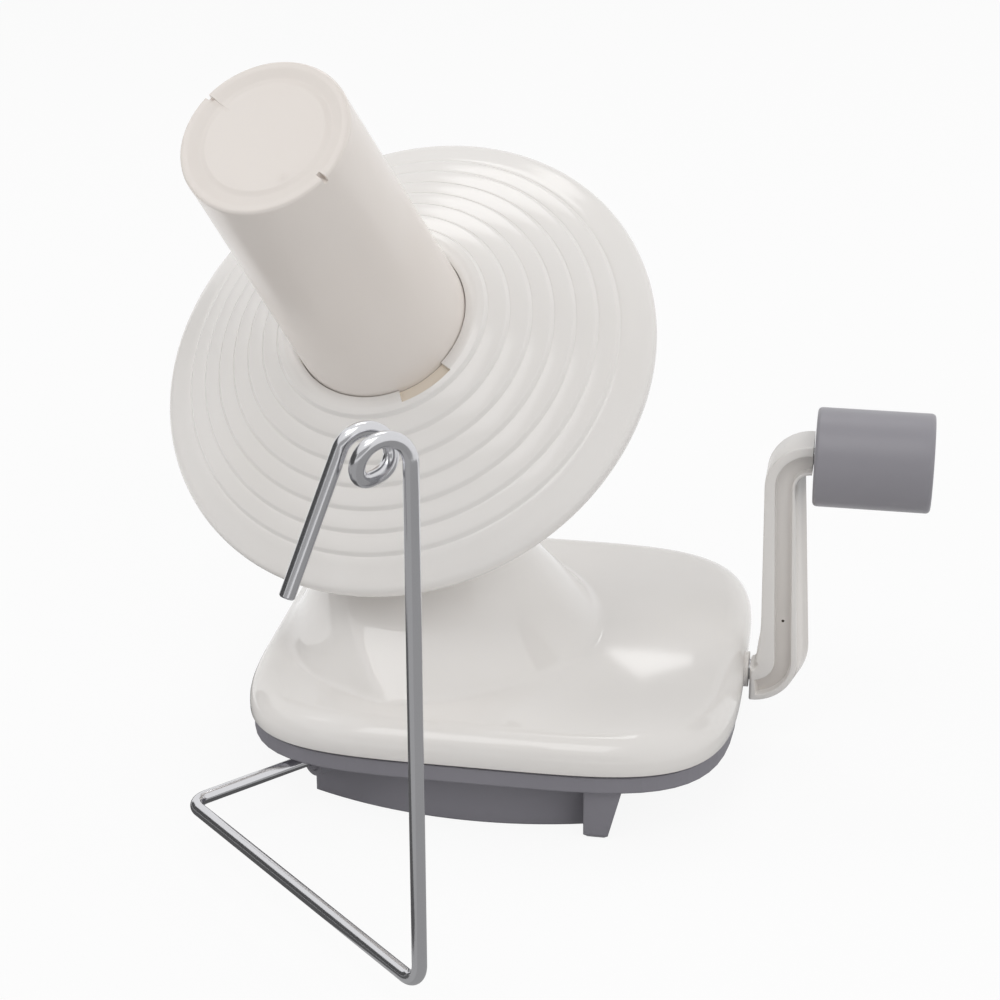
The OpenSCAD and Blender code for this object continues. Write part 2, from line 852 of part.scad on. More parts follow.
module crank_arm() {
    color(white_plastic)
        difference() {
            arm_bar(arm_w, arm_taper, arm_x, -arm_d / 2, arm_d / 2);
            arm_bar(arm_channel, 1, arm_x + channel_wall, -arm_d / 2 - past, channel_d - arm_d / 2);
            along_crank(arm_x - past)
                cylinder(h = shaft_right - arm_x + past, r = shaft_d / 2 + seat);
            along_crank(pin_left, grip_z)
                cylinder(h = grip_l, r = grip_pin_d / 2 + seat);
        }
}

module grip_pin() {
    color(steel) {
        along_crank(pin_left, grip_z)
            cylinder(h = pin_head_x - pin_left + bite, r = grip_pin_d / 2);
        along_crank(pin_head_x, grip_z)
            cylinder(h = pin_head_t, r = pin_head_r);
    }
}

module crank_grip() {
    color(grip_grey)
        along_crank(grip_x, grip_z)
            difference() {
                rotate_extrude()
                    polygon([
                        [0, 0],
                        [grip_r - grip_edge, 0],
                        [grip_r, grip_edge],
                        [grip_r, grip_l - grip_edge],
                        [grip_r - grip_edge, grip_l],
                        [0, grip_l]
                    ]);
                translate([0, 0, -past])
                    cylinder(h = grip_l + 2 * past, r = grip_pin_d / 2 + play);
                translate([0, 0, pin_head_x - grip_x - gap])
                    cylinder(h = grip_l, r = pin_head_r + gap);
            }
}

// Pieces that turn round the post

module carrier_plate() {
    color(white_plastic)
        difference() {
            rotate_extrude()
                polygon([
                    [post_r + play, sleeve_z],
                    [sleeve_r, sleeve_z],
                    [sleeve_r, plate_bottom - collar_h],
                    [collar_r, plate_bottom - collar_h],
                    [collar_r, plate_bottom],
                    [plate_r, plate_bottom],
                    [plate_r, head_z - plate_t / 3],
                    [plate_r - plate_t / 3, head_z],
                    [post_r + play, head_z]
                ]);
            for (turn = [0, 120, 240])
                rotate([0, 0, lean_turn + turn])
                    translate([plate_screw_ring, 0, plate_bottom - past])
                        cylinder(h = plate_t + 2 * past, r = plate_screw_r + seat);
        }
}

module carrier_pinion() {
    color(gear_white)
        translate([0, 0, pinion_z - pinion_face / 2])
            difference() {
                rotate([0, 0, 180 / pinion_teeth])
                    linear_extrude(pinion_face)
                        polygon(gear_outline(pinion_teeth, pinion_root_r, pinion_tip_r, 0.56, 0.20));
                translate([0, 0, -past])
                    cylinder(h = pinion_face + 2 * past, r = sleeve_r + seat);
            }
}

module carrier_head() {
    color(white_plastic)
        difference() {
            union() {
                translate([0, 0, head_z])
                    cylinder(h = head_top_z - head_z, r = head_r);
                in_spindle_frame() {
                    translate([0, 0, knuckle_low])
                        cylinder(h = knuckle_high - knuckle_low, r = knuckle_r);
                    translate([0, 0, knuckle_high - bite])
                        cylinder(h = boss_high - knuckle_high + bite, r = boss_r);
                    for (turn = [90, 180, 270])
                        rotate([0, 0, turn])
                            translate([cap_screw_ring, 0, knuckle_low])
                                cylinder(h = cap_ear_h, r = cap_ear_r);
                }
                for (turn = [0, 120, 240])
                    rotate([0, 0, lean_turn + turn])
                        translate([plate_screw_ring, 0, head_z])
                            cylinder(h = plate_ear_h, r = plate_ear_r);
            }
            translate([0, 0, head_z + head_wall])
                cylinder(h = head_top_z - head_z - 2 * head_wall, r = sun_cavity_r);
            translate([0, 0, head_z - past])
                cylinder(h = head_wall + 2 * past, r = post_r + 2 * gap);
            in_spindle_frame() {
                translate([0, 0, knuckle_low - past])
                    cylinder(h = boss_low - knuckle_low + past, r = planet_cavity_r);
                translate([0, 0, boss_low - past])
                    cylinder(h = boss_high - boss_low + 2 * past, r = spindle_bush_r + seat);
                for (turn = [90, 180, 270])
                    rotate([0, 0, turn])
                        translate([cap_screw_ring, 0, knuckle_low - past])
                            cylinder(h = cap_screw_l + gap + past, r = cap_screw_r + seat);
            }
            for (turn = [0, 120, 240])
                rotate([0, 0, lean_turn + turn])
                    translate([plate_screw_ring, 0, head_z - past])
                        cylinder(h = plate_screw_l + gap + past, r = plate_screw_r + seat);
        }
}

module carrier_screws() {
    color(steel)
        for (turn = [0, 120, 240])
            rotate([0, 0, lean_turn + turn])
                translate([plate_screw_ring, 0, plate_bottom])
                    cylinder(h = plate_t + plate_screw_l, r = plate_screw_r);
}

module gear_cap() {
    color(white_plastic)
        in_spindle_frame()
            difference() {
                union() {
                    translate([0, 0, knuckle_low - cap_t])
                        cylinder(h = cap_t, r1 = knuckle_r - cap_bevel, r2 = knuckle_r);
                    translate([0, 0, knuckle_low - bite])
                        cylinder(h = cap_lip + bite, r = planet_cavity_r - cap_slack);
                    for (turn = [90, 180, 270])
                        rotate([0, 0, turn])
                            translate([cap_screw_ring, 0, knuckle_low - cap_t])
                                cylinder(h = cap_t, r = cap_ear_r);
                }
                for (turn = [90, 180, 270])
                    rotate([0, 0, turn])
                        translate([cap_screw_ring, 0, knuckle_low - cap_t - past])
                            cylinder(h = cap_t + 2 * past, r = cap_screw_r + seat);
                from_spindle_frame()
                    translate([0, 0, head_z])
                        cylinder(h = head_top_z - head_z, r = head_r + seat);
            }
}

module cap_screws() {
    color(steel)
        in_spindle_frame()
            for (turn = [90, 180, 270])
                rotate([0, 0, turn])
                    translate([cap_screw_ring, 0, knuckle_low - cap_t - cap_head_h])
                        pan_screw(cap_head_r, cap_head_h, cap_screw_r, cap_head_h + cap_t + cap_screw_l);
}

module spindle_bush(low, high, flange_low) {
    difference() {
        union() {
            translate([0, 0, low])
                cylinder(h = high - low, r = spindle_bush_r);
            translate([0, 0, flange_low])
                cylinder(h = bush_flange_t, r = spindle_bush_r + flange_lip);
        }
        translate([0, 0, low - bush_flange_t - past])
            cylinder(h = high - low + 2 * bush_flange_t + 2 * past, r = spindle_r + play);
    }
}

module spindle_bush_lower() {
    color(bronze)
        in_spindle_frame()
            spindle_bush(boss_low - bush_flange_t / 2, boss_low + spindle_bush_l, boss_low - bush_flange_t);
}

module spindle_bush_upper() {
    color(bronze)
        in_spindle_frame()
            spindle_bush(boss_high - spindle_bush_l, boss_high + bush_flange_t / 2, boss_high);
}

// Pieces that spin with the spindle

module spindle() {
    color(steel)
        in_spindle_frame()
            difference() {
                translate([0, 0, spindle_low])
                    cylinder(h = spindle_top - spindle_low, r = spindle_r);
                translate([0, 0, seat_s])
                    cylinder(h = spigot_h, r = screw_r + seat);
            }
}

module planet_gear() {
    color(gear_white)
        in_spindle_frame()
            difference() {
                union() {
                    rotate([0, 0, 180 / planet_teeth])
                        bevel_teeth(planet_teeth, planet_pitch_r, planet_back);
                    translate([0, 0, -planet_back - planet_hub_h])
                        cylinder(h = planet_hub_h + bite, r = planet_hub_r);
                }
                translate([0, 0, -planet_back - planet_hub_h - past])
                    cylinder(h = planet_back, r = spindle_r + seat);
            }
}

module spindle_clip() {
    color(steel)
        in_spindle_frame()
            translate([0, 0, -planet_back - planet_hub_h - clip_t])
                difference() {
                    cylinder(h = clip_t, r = spindle_r + clip_wall);
                    translate([0, 0, -past])
                        cylinder(h = clip_t + 2 * past, r = spindle_r + seat);
                }
}

module bobbin_hub() {
    color(white_plastic)
        in_spindle_frame()
            difference() {
                rotate_extrude()
                    polygon([
                        [spindle_r + seat, hub_bottom_s],
                        [hub_neck_r, hub_bottom_s],
                        [hub_neck_r + hub_flare, seat_s - hub_flange_t],
                        [hub_flange_r, seat_s - hub_flange_t],
                        [hub_flange_r, seat_s],
                        [spigot_r, seat_s],
                        [spigot_r - spigot_taper, seat_s + spigot_h],
                        [spindle_r + seat, seat_s + spigot_h]
                    ]);
                for (turn = [0, 90])
                    rotate([0, 0, turn + notch_turn])
                        translate([-spigot_r, -spigot_slot / 2, seat_s + spigot_h - spigot_slot])
                            cube([2 * spigot_r, spigot_slot, spigot_h]);
            }
}

module hub_screw() {
    color(steel)
        in_spindle_frame()
            translate([0, 0, seat_s + spigot_h + screw_head_h])
                rotate([180, 0, 0])
                    pan_screw(hub_head_r, screw_head_h, screw_r, spigot_h + screw_head_h - bite);
}

// Height of the disc's top along the spindle, without its ring steps
function disc_top(r) = hole_s - (hole_s - brim_s) * (r - brow_r) / (disc_r - rim_r - brow_r);

module winding_disc() {
    ring_pitch = (disc_r - ring_margin - ring_first) / (ring_count - 1);
    rings = [for (k = [0:ring_count - 1]) ring_first + ring_pitch * k];
    color(white_plastic)
        in_spindle_frame()
            difference() {
                union() {
                    rotate_extrude()
                        polygon(concat(
                            [
                                [disc_hole_r, seat_s],
                                [disc_hole_r, hole_s - edge_cut],
                                [disc_hole_r + edge_cut, hole_s],
                                [brow_r, hole_s]
                            ],
                            [for (r = rings) each [
                                [r, disc_top(r) + ring_step / 2],
                                [r + ring_step / 2, disc_top(r) - ring_step / 2]
                            ]],
                            [
                                [disc_r - rim_r, disc_top(disc_r - rim_r)],
                                [disc_r - rim_r, disc_top(disc_r - rim_r) - disc_wall],
                                [hub_flange_r + 1, seat_s]
                            ]
                        ));
                    translate([0, 0, -disc_drop])
                        rotate_extrude()
                            translate([disc_r - rim_r, 0])
                                circle(r = rim_r);
                }
                for (turn = [0, 180])
                    rotate([0, 0, notch_turn + turn - notch_angle / 2])
                        translate([0, 0, seat_s - past])
                            rotate_extrude(angle = notch_angle)
                                square([disc_hole_r + notch_d, collar_drop + 2 * past]);
            }
}

module bobbin() {
    foot_r = bobbin_foot_r + bobbin_flare * collar_drop;
    inner_top_s = bobbin_top_s - recess_d - bobbin_wall;
    color(white_plastic)
        in_spindle_frame()
            difference() {
                rotate_extrude()
                    polygon([
                        [foot_r - bobbin_wall, seat_s],
                        [foot_r, seat_s],
                        [bobbin_top_r, bobbin_top_s - bobbin_rim],
                        [bobbin_top_r - rim_share * bobbin_rim, bobbin_top_s - rim_share * bobbin_rim],
                        [bobbin_top_r - bobbin_rim, bobbin_top_s],
                        [bobbin_top_r - bobbin_rim - bobbin_lip, bobbin_top_s],
                        [bobbin_top_r - bobbin_rim - bobbin_lip - bobbin_draft, bobbin_top_s - recess_d],
                        [0, bobbin_top_s - recess_d],
                        [0, inner_top_s],
                        [bobbin_top_r - bobbin_wall, inner_top_s]
                    ]);
                rotate([0, 0, slit_turn])
                    for (side = [-1, 1])
                        translate([side * bobbin_top_r - slit_l / 2, -slit_w / 2, bobbin_top_s - slit_d])
                            cube([slit_l, slit_w, slit_d + past]);
            }
}

// The yarn guide: one wire from the socket through two bends to the eye and its free end

// Place and direction along the eye's coil at a turn
function eye_stop(turn) =
    let (out = -cos(turn) * guide_e + sin(turn) * guide_up)
        [
            eye_center + eye_r * out - eye_pitch * turn / 360 * guide_d,
            unit(sin(turn) * guide_e + cos(turn) * guide_up - eye_pitch / (2 * PI * eye_r) * guide_d)
        ];

// Places and directions round a bend at a corner, from one direction to another
function bend_stops(corner, from, to, r, steps) = [
    for (k = [0:steps])
        let (turn = 90 * k / steps)
            [
                corner + r * (sin(turn) - 1) * from + r * (1 - cos(turn)) * to,
                cos(turn) * from + sin(turn) * to
            ]
];

function guide_stops() =
    let (
        down = cos(free_lean) * -guide_up + sin(free_lean) * guide_e
    )
        concat(
            [[guide_corner_1 - (guide_bend_1 + wire_lap) * guide_e, guide_e]],
            bend_stops(guide_corner_1, guide_e, guide_d, guide_bend_1, guide_bend_steps),
            bend_stops(guide_corner_2, guide_d, guide_up, guide_bend_2, guide_bend_steps),
            [for (k = [0:eye_steps]) eye_stop((eye_end_turn - free_lean) * k / eye_steps)],
            [[eye_stop(eye_end_turn - free_lean)[0] + free_l * down, down]]
        );

module yarn_guide() {
    stops = guide_stops();
    rings = [for (stop = stops) wire_ring(stop[0], stop[1], wire_r - wire_step)];
    color(steel) {
        in_socket()
            translate([0, 0, -socket_l])
                cylinder(h = socket_l + guide_out - guide_bend_1 - wire_lap / 2, r = wire_r);
        polyhedron(points = [for (ring = rings) each ring], faces = tube_faces(len(rings), wire_sides));
    }
}

base_lower();
base_cover();
cover_screws();
center_post();
thrust_washer();
sun_gear();
sun_clip();
crank_bush_outer();
crank_bush_inner();
guide_bush();
crank_shaft();
drive_wheel();
wheel_screw();
crank_arm();
grip_pin();
crank_grip();
carrier_plate();
carrier_pinion();
carrier_head();
carrier_screws();
gear_cap();
cap_screws();
spindle_bush_lower();
spindle_bush_upper();
spindle();
planet_gear();
spindle_clip();
bobbin_hub();
hub_screw();
winding_disc();
bobbin();
yarn_guide();
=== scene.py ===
"""Looks of the yarn ball winder: moulded white and grey plastic, a chrome wire guide and a plain studio."""

import json

import bpy
import numpy as np
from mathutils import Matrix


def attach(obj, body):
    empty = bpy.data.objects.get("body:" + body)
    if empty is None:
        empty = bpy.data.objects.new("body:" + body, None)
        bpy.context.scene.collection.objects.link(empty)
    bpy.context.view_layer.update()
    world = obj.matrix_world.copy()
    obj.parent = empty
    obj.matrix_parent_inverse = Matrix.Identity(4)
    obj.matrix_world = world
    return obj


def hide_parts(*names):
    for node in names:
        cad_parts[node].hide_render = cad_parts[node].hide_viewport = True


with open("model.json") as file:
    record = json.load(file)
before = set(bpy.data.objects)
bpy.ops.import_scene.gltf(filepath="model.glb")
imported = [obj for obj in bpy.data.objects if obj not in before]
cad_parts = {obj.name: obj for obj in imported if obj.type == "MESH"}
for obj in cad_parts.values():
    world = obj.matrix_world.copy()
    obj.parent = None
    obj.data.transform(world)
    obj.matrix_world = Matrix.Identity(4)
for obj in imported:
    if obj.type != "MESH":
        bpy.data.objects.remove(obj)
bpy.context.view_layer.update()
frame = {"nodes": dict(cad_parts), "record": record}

# Sizes in millimetres and angles in degrees, most of them as in the part's source
MM = 0.001

# Base cover
BASE_W, BASE_D, BASE_POWER = 115.4, 113.4, 4.3
BASE_MIDDLE = np.array([25.8, -1.6])
REACH_MOST, REACH_HALVINGS = 120.0, 46
SEAM_Z, PLATE_Z, MOUTH_Z = 18.0, 26.0, 50.0
MOUTH_R, MOUTH_BLEND = 14.5, 1.2
SHELL_WALL, EDGE_R = 2.2, 6.0
OUTER_BLEND, INNER_BLEND = 1.8, 3.0
CONE_R, CONE_SLOPE = 47.0, 0.92
FLANK_R, FLANK_SLOPE, FLANK_GAP, FLANK_BLEND = 57.0, 0.2, 7.0, 20.0
LEFT_SOFT, LEFT_FROM, LEFT_RUN = 22.0, 2.0, 24.0
# Insets and heights of the points that round the cover's lower edge
SEAM_EDGE = [[0.0, 0.35], [0.12, 0.1], [0.35, 0.0]]

# Spindle, and the steep sides of cuts in pieces on it: half a side's width, as a turn and as a length
APEX_Z, TILT, LEAN_TURN = 93.4, 42.8, 256.4
CUT_TURN, CUT_STEP = 0.05, 0.05

# Winding disc
DISC_R, DISC_DROP, RIM_R, RIM_SWELL, RIM_WRAP = 60.0, 3.3, 3.0, 1.05, 218.0
HOLE_S, SEAT_S, HOLE_R, HOLE_EDGE, HOLE_EDGE_IN = 17.7, 14.5, 20.34, 0.45, 0.13
BROW_R, FLANGE_R, FLANGE_ROOM, UNDER_GAP = 23.2, 24.6, 1.0, 0.02
TOP_IN, CREST_IN, CREST_PULL, CREST_EDGE = 5.6, 5.2, 3.4, 2.2
RING_FIRST, RING_LAST, RING_COUNT, RING_STEP = 25.0, 52.3, 7, 0.7
RING_DROP, RING_FADE, LIP_POWER, LIP_SHARE, HAIR = 0.4, 2.2, 1.6, 0.46, 0.01
# Distances from a ring at which the disc's profile has points
RING_POINTS = np.array([0.05, 0.16, 0.27, 0.4, 0.6, 0.9, 1.4])
NOTCH_TURN, NOTCH_ANGLE, NOTCH_R, NOTCH_DEPTH = 48.0, 32.0, 23.5, 1.1

# Bobbin
BOBBIN_FOOT_R, BOBBIN_TOP_R, BOBBIN_L, BOBBIN_WALL = 20.2, 18.2, 72.85, 1.8
BOBBIN_RIM, BOBBIN_BAND, BOBBIN_LIP, LIP_SOFT, LIP_SAG = 0.7, 3.0, 1.1, 0.2, 0.05
MOAT_R, MOAT_D, MOAT_SOFT, MOAT_IN, MOAT_RISE = 14.0, 0.55, 0.3, 0.1, 0.02
DISH_R, DISH_D, DISH_SAG, DISH_IN, CAP_R, INSIDE_EDGE = 12.9, 0.25, 0.06, 0.4, 0.5, 0.6
SLIT_TURN, SLIT_W, SLIT_D, SLIT_L = 64.0, 1.0, 1.6, 2.0
GROOVE_R, GROOVE_D = 11.4, 0.4
MARK_R, MARK_TURN, MARK_L, MARK_W, MARK_H = 11.4, 40.9, 0.9, 0.45, 0.3
MARK_SLANT = np.array([0.84, 0.54])

# Crank arm, its pin end and the grip
ARM_X, ARM_LEAD, ARM_BEND, ARM_TOP_BEND, ARM_TIP = 84.6, 0.7, 7.0, 6.0, 0.3
ARM_LEAN, CRANK_R, ARM_TAPER, ARM_D, ARM_DROP = 2.5, 56.4, 0.78, 11.0, 2.0
ARM_INNER, ARM_OUTER, ARM_DRAFT, ARM_EDGE = 5.45, 3.5, 2.3, 0.45
ARM_CHANNEL, CHANNEL_D, CHANNEL_EDGE, CHANNEL_LIP, ARM_CLOSED = 3.9, 2.2, 0.3, 0.25, 1.9
ARM_NECK, ARM_FLARE, FLARE_L, NECK_BACK = 4.65, 1.2, 12.0, 0.5
ARM_ROUND, ROUND_SPAN = 1.6, 80.0
# Painted shade on the arm: how much the channel's floor takes the darker colour at the foot, how much less at
# the top, and how much the outer side takes
CHANNEL_SHADE, CHANNEL_FADE, SIDE_SHADE = 0.42, 0.30, 0.7
PIN_X, PIN_Z, PIN_R, PIN_L, PIN_DOME, PIN_SUNK = 91.8, 33.2, 0.5, 0.6, 0.12, 0.06
GRIP_R, GRIP_L, GRIP_EDGE, GRIP_PIN_R, GRIP_GAP = 11.5, 26.8, 1.0, 2.06, 0.4
SINK_R, SINK_D, SINK_EDGE, SINK_EDGE_IN = 4.1, 4.4, 0.4, 0.1

# Yarn guide
WIRE_R, WIRE_SIDES, WIRE_END_L, WIRE_END = 1.5, 32, 0.3, 0.82
SOCKET, SOCKET_TURN, SOCKET_L = np.array([-12.7, -48.1, 11.0]), 227.5, 12.0
GUIDE_OUT, GUIDE_RUN, GUIDE_H = 32.2, 87.2, 110.4
GUIDE_BEND_1, GUIDE_BEND_2 = 4.0, 5.0
EYE_R, EYE_TURNS, EYE_PITCH, EYE_PINCH = 4.7, 1.5, 6.0, 0.26
FREE_LEAN, FREE_STOPS = 25.8, np.array([1.5, 8.0, 15.0, 22.0, 28.5])


# Surfaces

def skin(name, grid, loop=False, cap_first=False, cap_last=False, sharp=38.0):
    """A mesh over a grid of points: rows run along the piece, and columns run round it and close.

    Each point joins its neighbours in the next row and column as one face. A cap fans from an end row to
    its mean. Faces are turned outwards by the sign of the volume: the sum, over all triangles, of the first
    corner times the cross product of the other two. Edges that bend by more than an angle stay sharp.
    """
    rows, cols = grid.shape[:2]
    points = grid.reshape(-1, 3) * MM
    row = np.arange(rows if loop else rows - 1)[:, None]
    col = np.arange(cols)[None, :]
    after, beside = (row + 1) % rows, (col + 1) % cols
    quads = np.stack(
        [row * cols + col, row * cols + beside, after * cols + beside, after * cols + col], axis=-1
    ).reshape(-1, 4)
    fans = []
    ring = np.arange(cols)
    for wanted, start, order in ((cap_first, 0, -1), (cap_last, (rows - 1) * cols, 1)):
        if wanted:
            middle = np.full(cols, len(points))
            points = np.vstack([points, points[start:start + cols].mean(axis=0)])
            fan = np.stack([middle, start + ring, start + (ring + 1) % cols], axis=-1)
            fans.append(fan[:, ::order])
    fans = np.vstack(fans) if fans else np.zeros((0, 3), int)
    tris = np.vstack([quads[:, [0, 1, 2]], quads[:, [0, 2, 3]], fans])
    a, b, c = (points[tris[:, k]] for k in range(3))
    if np.einsum("ij,ij->", a, np.cross(b, c)) < 0:
        quads, fans = quads[:, ::-1], fans[:, ::-1]
    mesh = bpy.data.meshes.new(name)
    mesh.vertices.add(len(points))
    mesh.vertices.foreach_set("co", points.ravel())
    corners = np.concatenate([quads.ravel(), fans.ravel()])
    mesh.loops.add(len(corners))
    mesh.loops.foreach_set("vertex_index", corners)
    counts = np.concatenate([np.full(len(quads), 4), np.full(len(fans), 3)])
    mesh.polygons.add(len(counts))
    mesh.polygons.foreach_set("loop_start", np.concatenate([[0], np.cumsum(counts)[:-1]]))
    mesh.update(calc_edges=True)
    mesh.validate()
    mesh.shade_smooth()
    mesh.set_sharp_from_angle(angle=np.radians(sharp))
    piece = bpy.data.objects.new(name, mesh)
    bpy.context.scene.collection.objects.link(piece)
    return piece


def add_painted_shade(piece, values):
    """Gives each point of a piece a value from 0 to 1, by which its finish mixes in a darker colour of
    painted shade.
    """
    painted_shade = piece.data.attributes.new("painted_shade", "FLOAT", "POINT")
    painted_shade.data.foreach_set("value", values.ravel().astype(np.float32))


def arc(middle, r, first, last, count):
    """Points on a circle: the middle plus the radius times cosine and sine of angles from first to last."""
    t = np.radians(np.linspace(first, last, count))
    return np.stack([middle[0] + r * np.cos(t), middle[1] + r * np.sin(t)], axis=-1)


def spindle_place(r, s, turn):
    """Points at radius r, height s and angle turn about the spindle.

    The local frame is leaned by the tilt about Y, turned by the lean's direction about Z, and lifted to the
    apex.
    """
    lean, around = np.radians(TILT), np.radians(LEAN_TURN)
    x, y = r * np.cos(turn), r * np.sin(turn)
    out = x * np.cos(lean) + s * np.sin(lean)
    up = s * np.cos(lean) - x * np.sin(lean)
    return np.stack([
        out * np.cos(around) - y * np.sin(around), out * np.sin(around) + y * np.cos(around), up + APEX_Z
    ], axis=-1)


def crank_place(r, x, turn, z):
    """Points at radius r and angle turn about a line along X at height z."""
    return np.stack([np.broadcast_to(x, r.shape), r * np.cos(turn), z + r * np.sin(turn)], axis=-1)


def turns_with(edges, count=288):
    """Angles round a full turn, with a close pair at each edge so that a cut there has a steep side."""
    even = np.linspace(0, 360, count, endpoint=False)
    pairs = np.concatenate([[edge - CUT_TURN, edge + CUT_TURN] for edge in edges]) % 360
    return np.radians(np.unique(np.concatenate([even, pairs])))


def smooth_most(a, b, reach):
    """The larger of two heights, rounded where they differ by less than reach.

    There it gains a quarter of the reach times the square of how close they are, as a share of the reach.
    """
    near = np.clip(reach - np.abs(a - b), 0, None) / reach
    return np.maximum(a, b) + near * near * reach / 4


def smooth_least(a, b, reach):
    """The smaller of two heights, rounded where they differ by less than reach."""
    return -smooth_most(-a, -b, reach)


def outline_reach(turn, inset):
    """Distance from the winding axis to the base's outline, drawn in by an inset, in each direction.

    The outline is where the powers of x and y over the half width and half depth add up to one. It is found
    by halving.
    """
    half = np.array([BASE_W / 2, BASE_D / 2])
    low, high = np.zeros_like(turn + inset), np.full_like(turn + inset, REACH_MOST)
    for _ in range(REACH_HALVINGS):
        middle = (low + high) / 2
        x = np.abs(middle * np.cos(turn) - BASE_MIDDLE[0]) / (half[0] - inset)
        y = np.abs(middle * np.sin(turn) - BASE_MIDDLE[1]) / (half[1] - inset)
        inside = x ** BASE_POWER + y ** BASE_POWER < 1
        low, high = np.where(inside, middle, low), np.where(inside, high, middle)
    return low


def cover_height(x, y, wall, soft):
    """Height of the cover over a point: a flat top, and the cone that rises softly out of it.

    The cone is the lower of a cone round the winding axis and a steep flank round a point to its right,
    both drawn in by the wall, and it is cut off at the mouth. The blend with the flat top grows evenly to the
    left.
    """
    cone_in, flank_in = wall * np.hypot(1, CONE_SLOPE), wall * np.hypot(1, FLANK_SLOPE)
    flank_x = BASE_MIDDLE[0] - BASE_W / 2 + FLANK_GAP + FLANK_R
    cone = PLATE_Z + (CONE_R - cone_in - np.hypot(x, y)) / CONE_SLOPE
    flank = PLATE_Z + (FLANK_R - flank_in - np.hypot(x - flank_x, y)) / FLANK_SLOPE
    rise = smooth_least(smooth_least(cone, flank, FLANK_BLEND), MOUTH_Z - wall, MOUTH_BLEND)
    blend = soft + LEFT_SOFT * np.clip(-(x + LEFT_FROM) / LEFT_RUN, 0, 1)
    return smooth_most(PLATE_Z - wall, rise, blend)


def cover_shell():
    """The cover as a closed shell: out over the top, round the edge, down, and back along the inside.

    Rows between mouth and edge are blends of the mouth's circle and the outline. Rows down the edge follow a
    quarter circle.
    """
    turn = np.linspace(0, 2 * np.pi, num=300, endpoint=False)[None, :]

    def face(wall, edge, soft, rows):
        """One face of the shell: rows from the mouth to the edge, and ten more down the rounded edge."""
        share = np.linspace(0, 1, rows)[:, None]
        bend = np.radians(np.linspace(0, 90, num=11)[1:, None])
        top_r = MOUTH_R + (outline_reach(turn, wall + edge) - MOUTH_R) * share
        r = np.concatenate([top_r, outline_reach(turn, wall + edge * (1 - np.sin(bend)))])
        drop = np.concatenate([0 * share, edge * (1 - np.cos(bend))])
        x, y = r * np.cos(turn), r * np.sin(turn)
        return np.stack([x, y, cover_height(x, y, wall, soft) - drop], axis=-1)

    outer = face(0.0, EDGE_R, OUTER_BLEND, rows=150)
    inner = face(SHELL_WALL, EDGE_R - SHELL_WALL, INNER_BLEND, rows=60)
    lip = np.array(SEAM_EDGE + [[SHELL_WALL, 0.0]])
    r = outline_reach(turn, lip[:, :1])
    below = np.stack([r * np.cos(turn), r * np.sin(turn), SEAM_Z + lip[:, 1:] + 0 * r], axis=-1)
    return skin("cover_shell", np.concatenate([outer, below, inner[::-1]]), loop=True, sharp=50.0)


def ring_lips(r, rings):
    """How far the disc's top stands proud at each radius, as a share of the ring step.

    From one ring to the next the share grows from minus a half to a half, fast and then slowly. At a ring it
    falls back along a smooth step. It starts from nothing at the brow, and fades out past the last ring.
    """
    share = ((r - rings[0]) / (rings[1] - rings[0])) % 1.0
    proud = 0.5 - (1 - share) ** LIP_POWER
    proud = np.where(r < rings[0], 0.5 * (r - BROW_R) / (rings[0] - BROW_R), proud)
    fade = np.clip(1 - (r - rings[-1]) / RING_FADE, 0, 1)
    proud = np.where(r > rings[-1], -0.5 * fade ** LIP_POWER, proud)
    gap = r[:, None] - rings[None, :]
    step = gap[np.arange(len(r)), np.abs(gap).argmin(axis=1)]
    fall = np.clip((step + RING_DROP) / (2 * RING_DROP), 0, 1)
    edge = LIP_SHARE - 2 * LIP_SHARE * fall * fall * (3 - 2 * fall)
    return np.where(np.abs(step) < RING_DROP + HAIR, edge, proud)


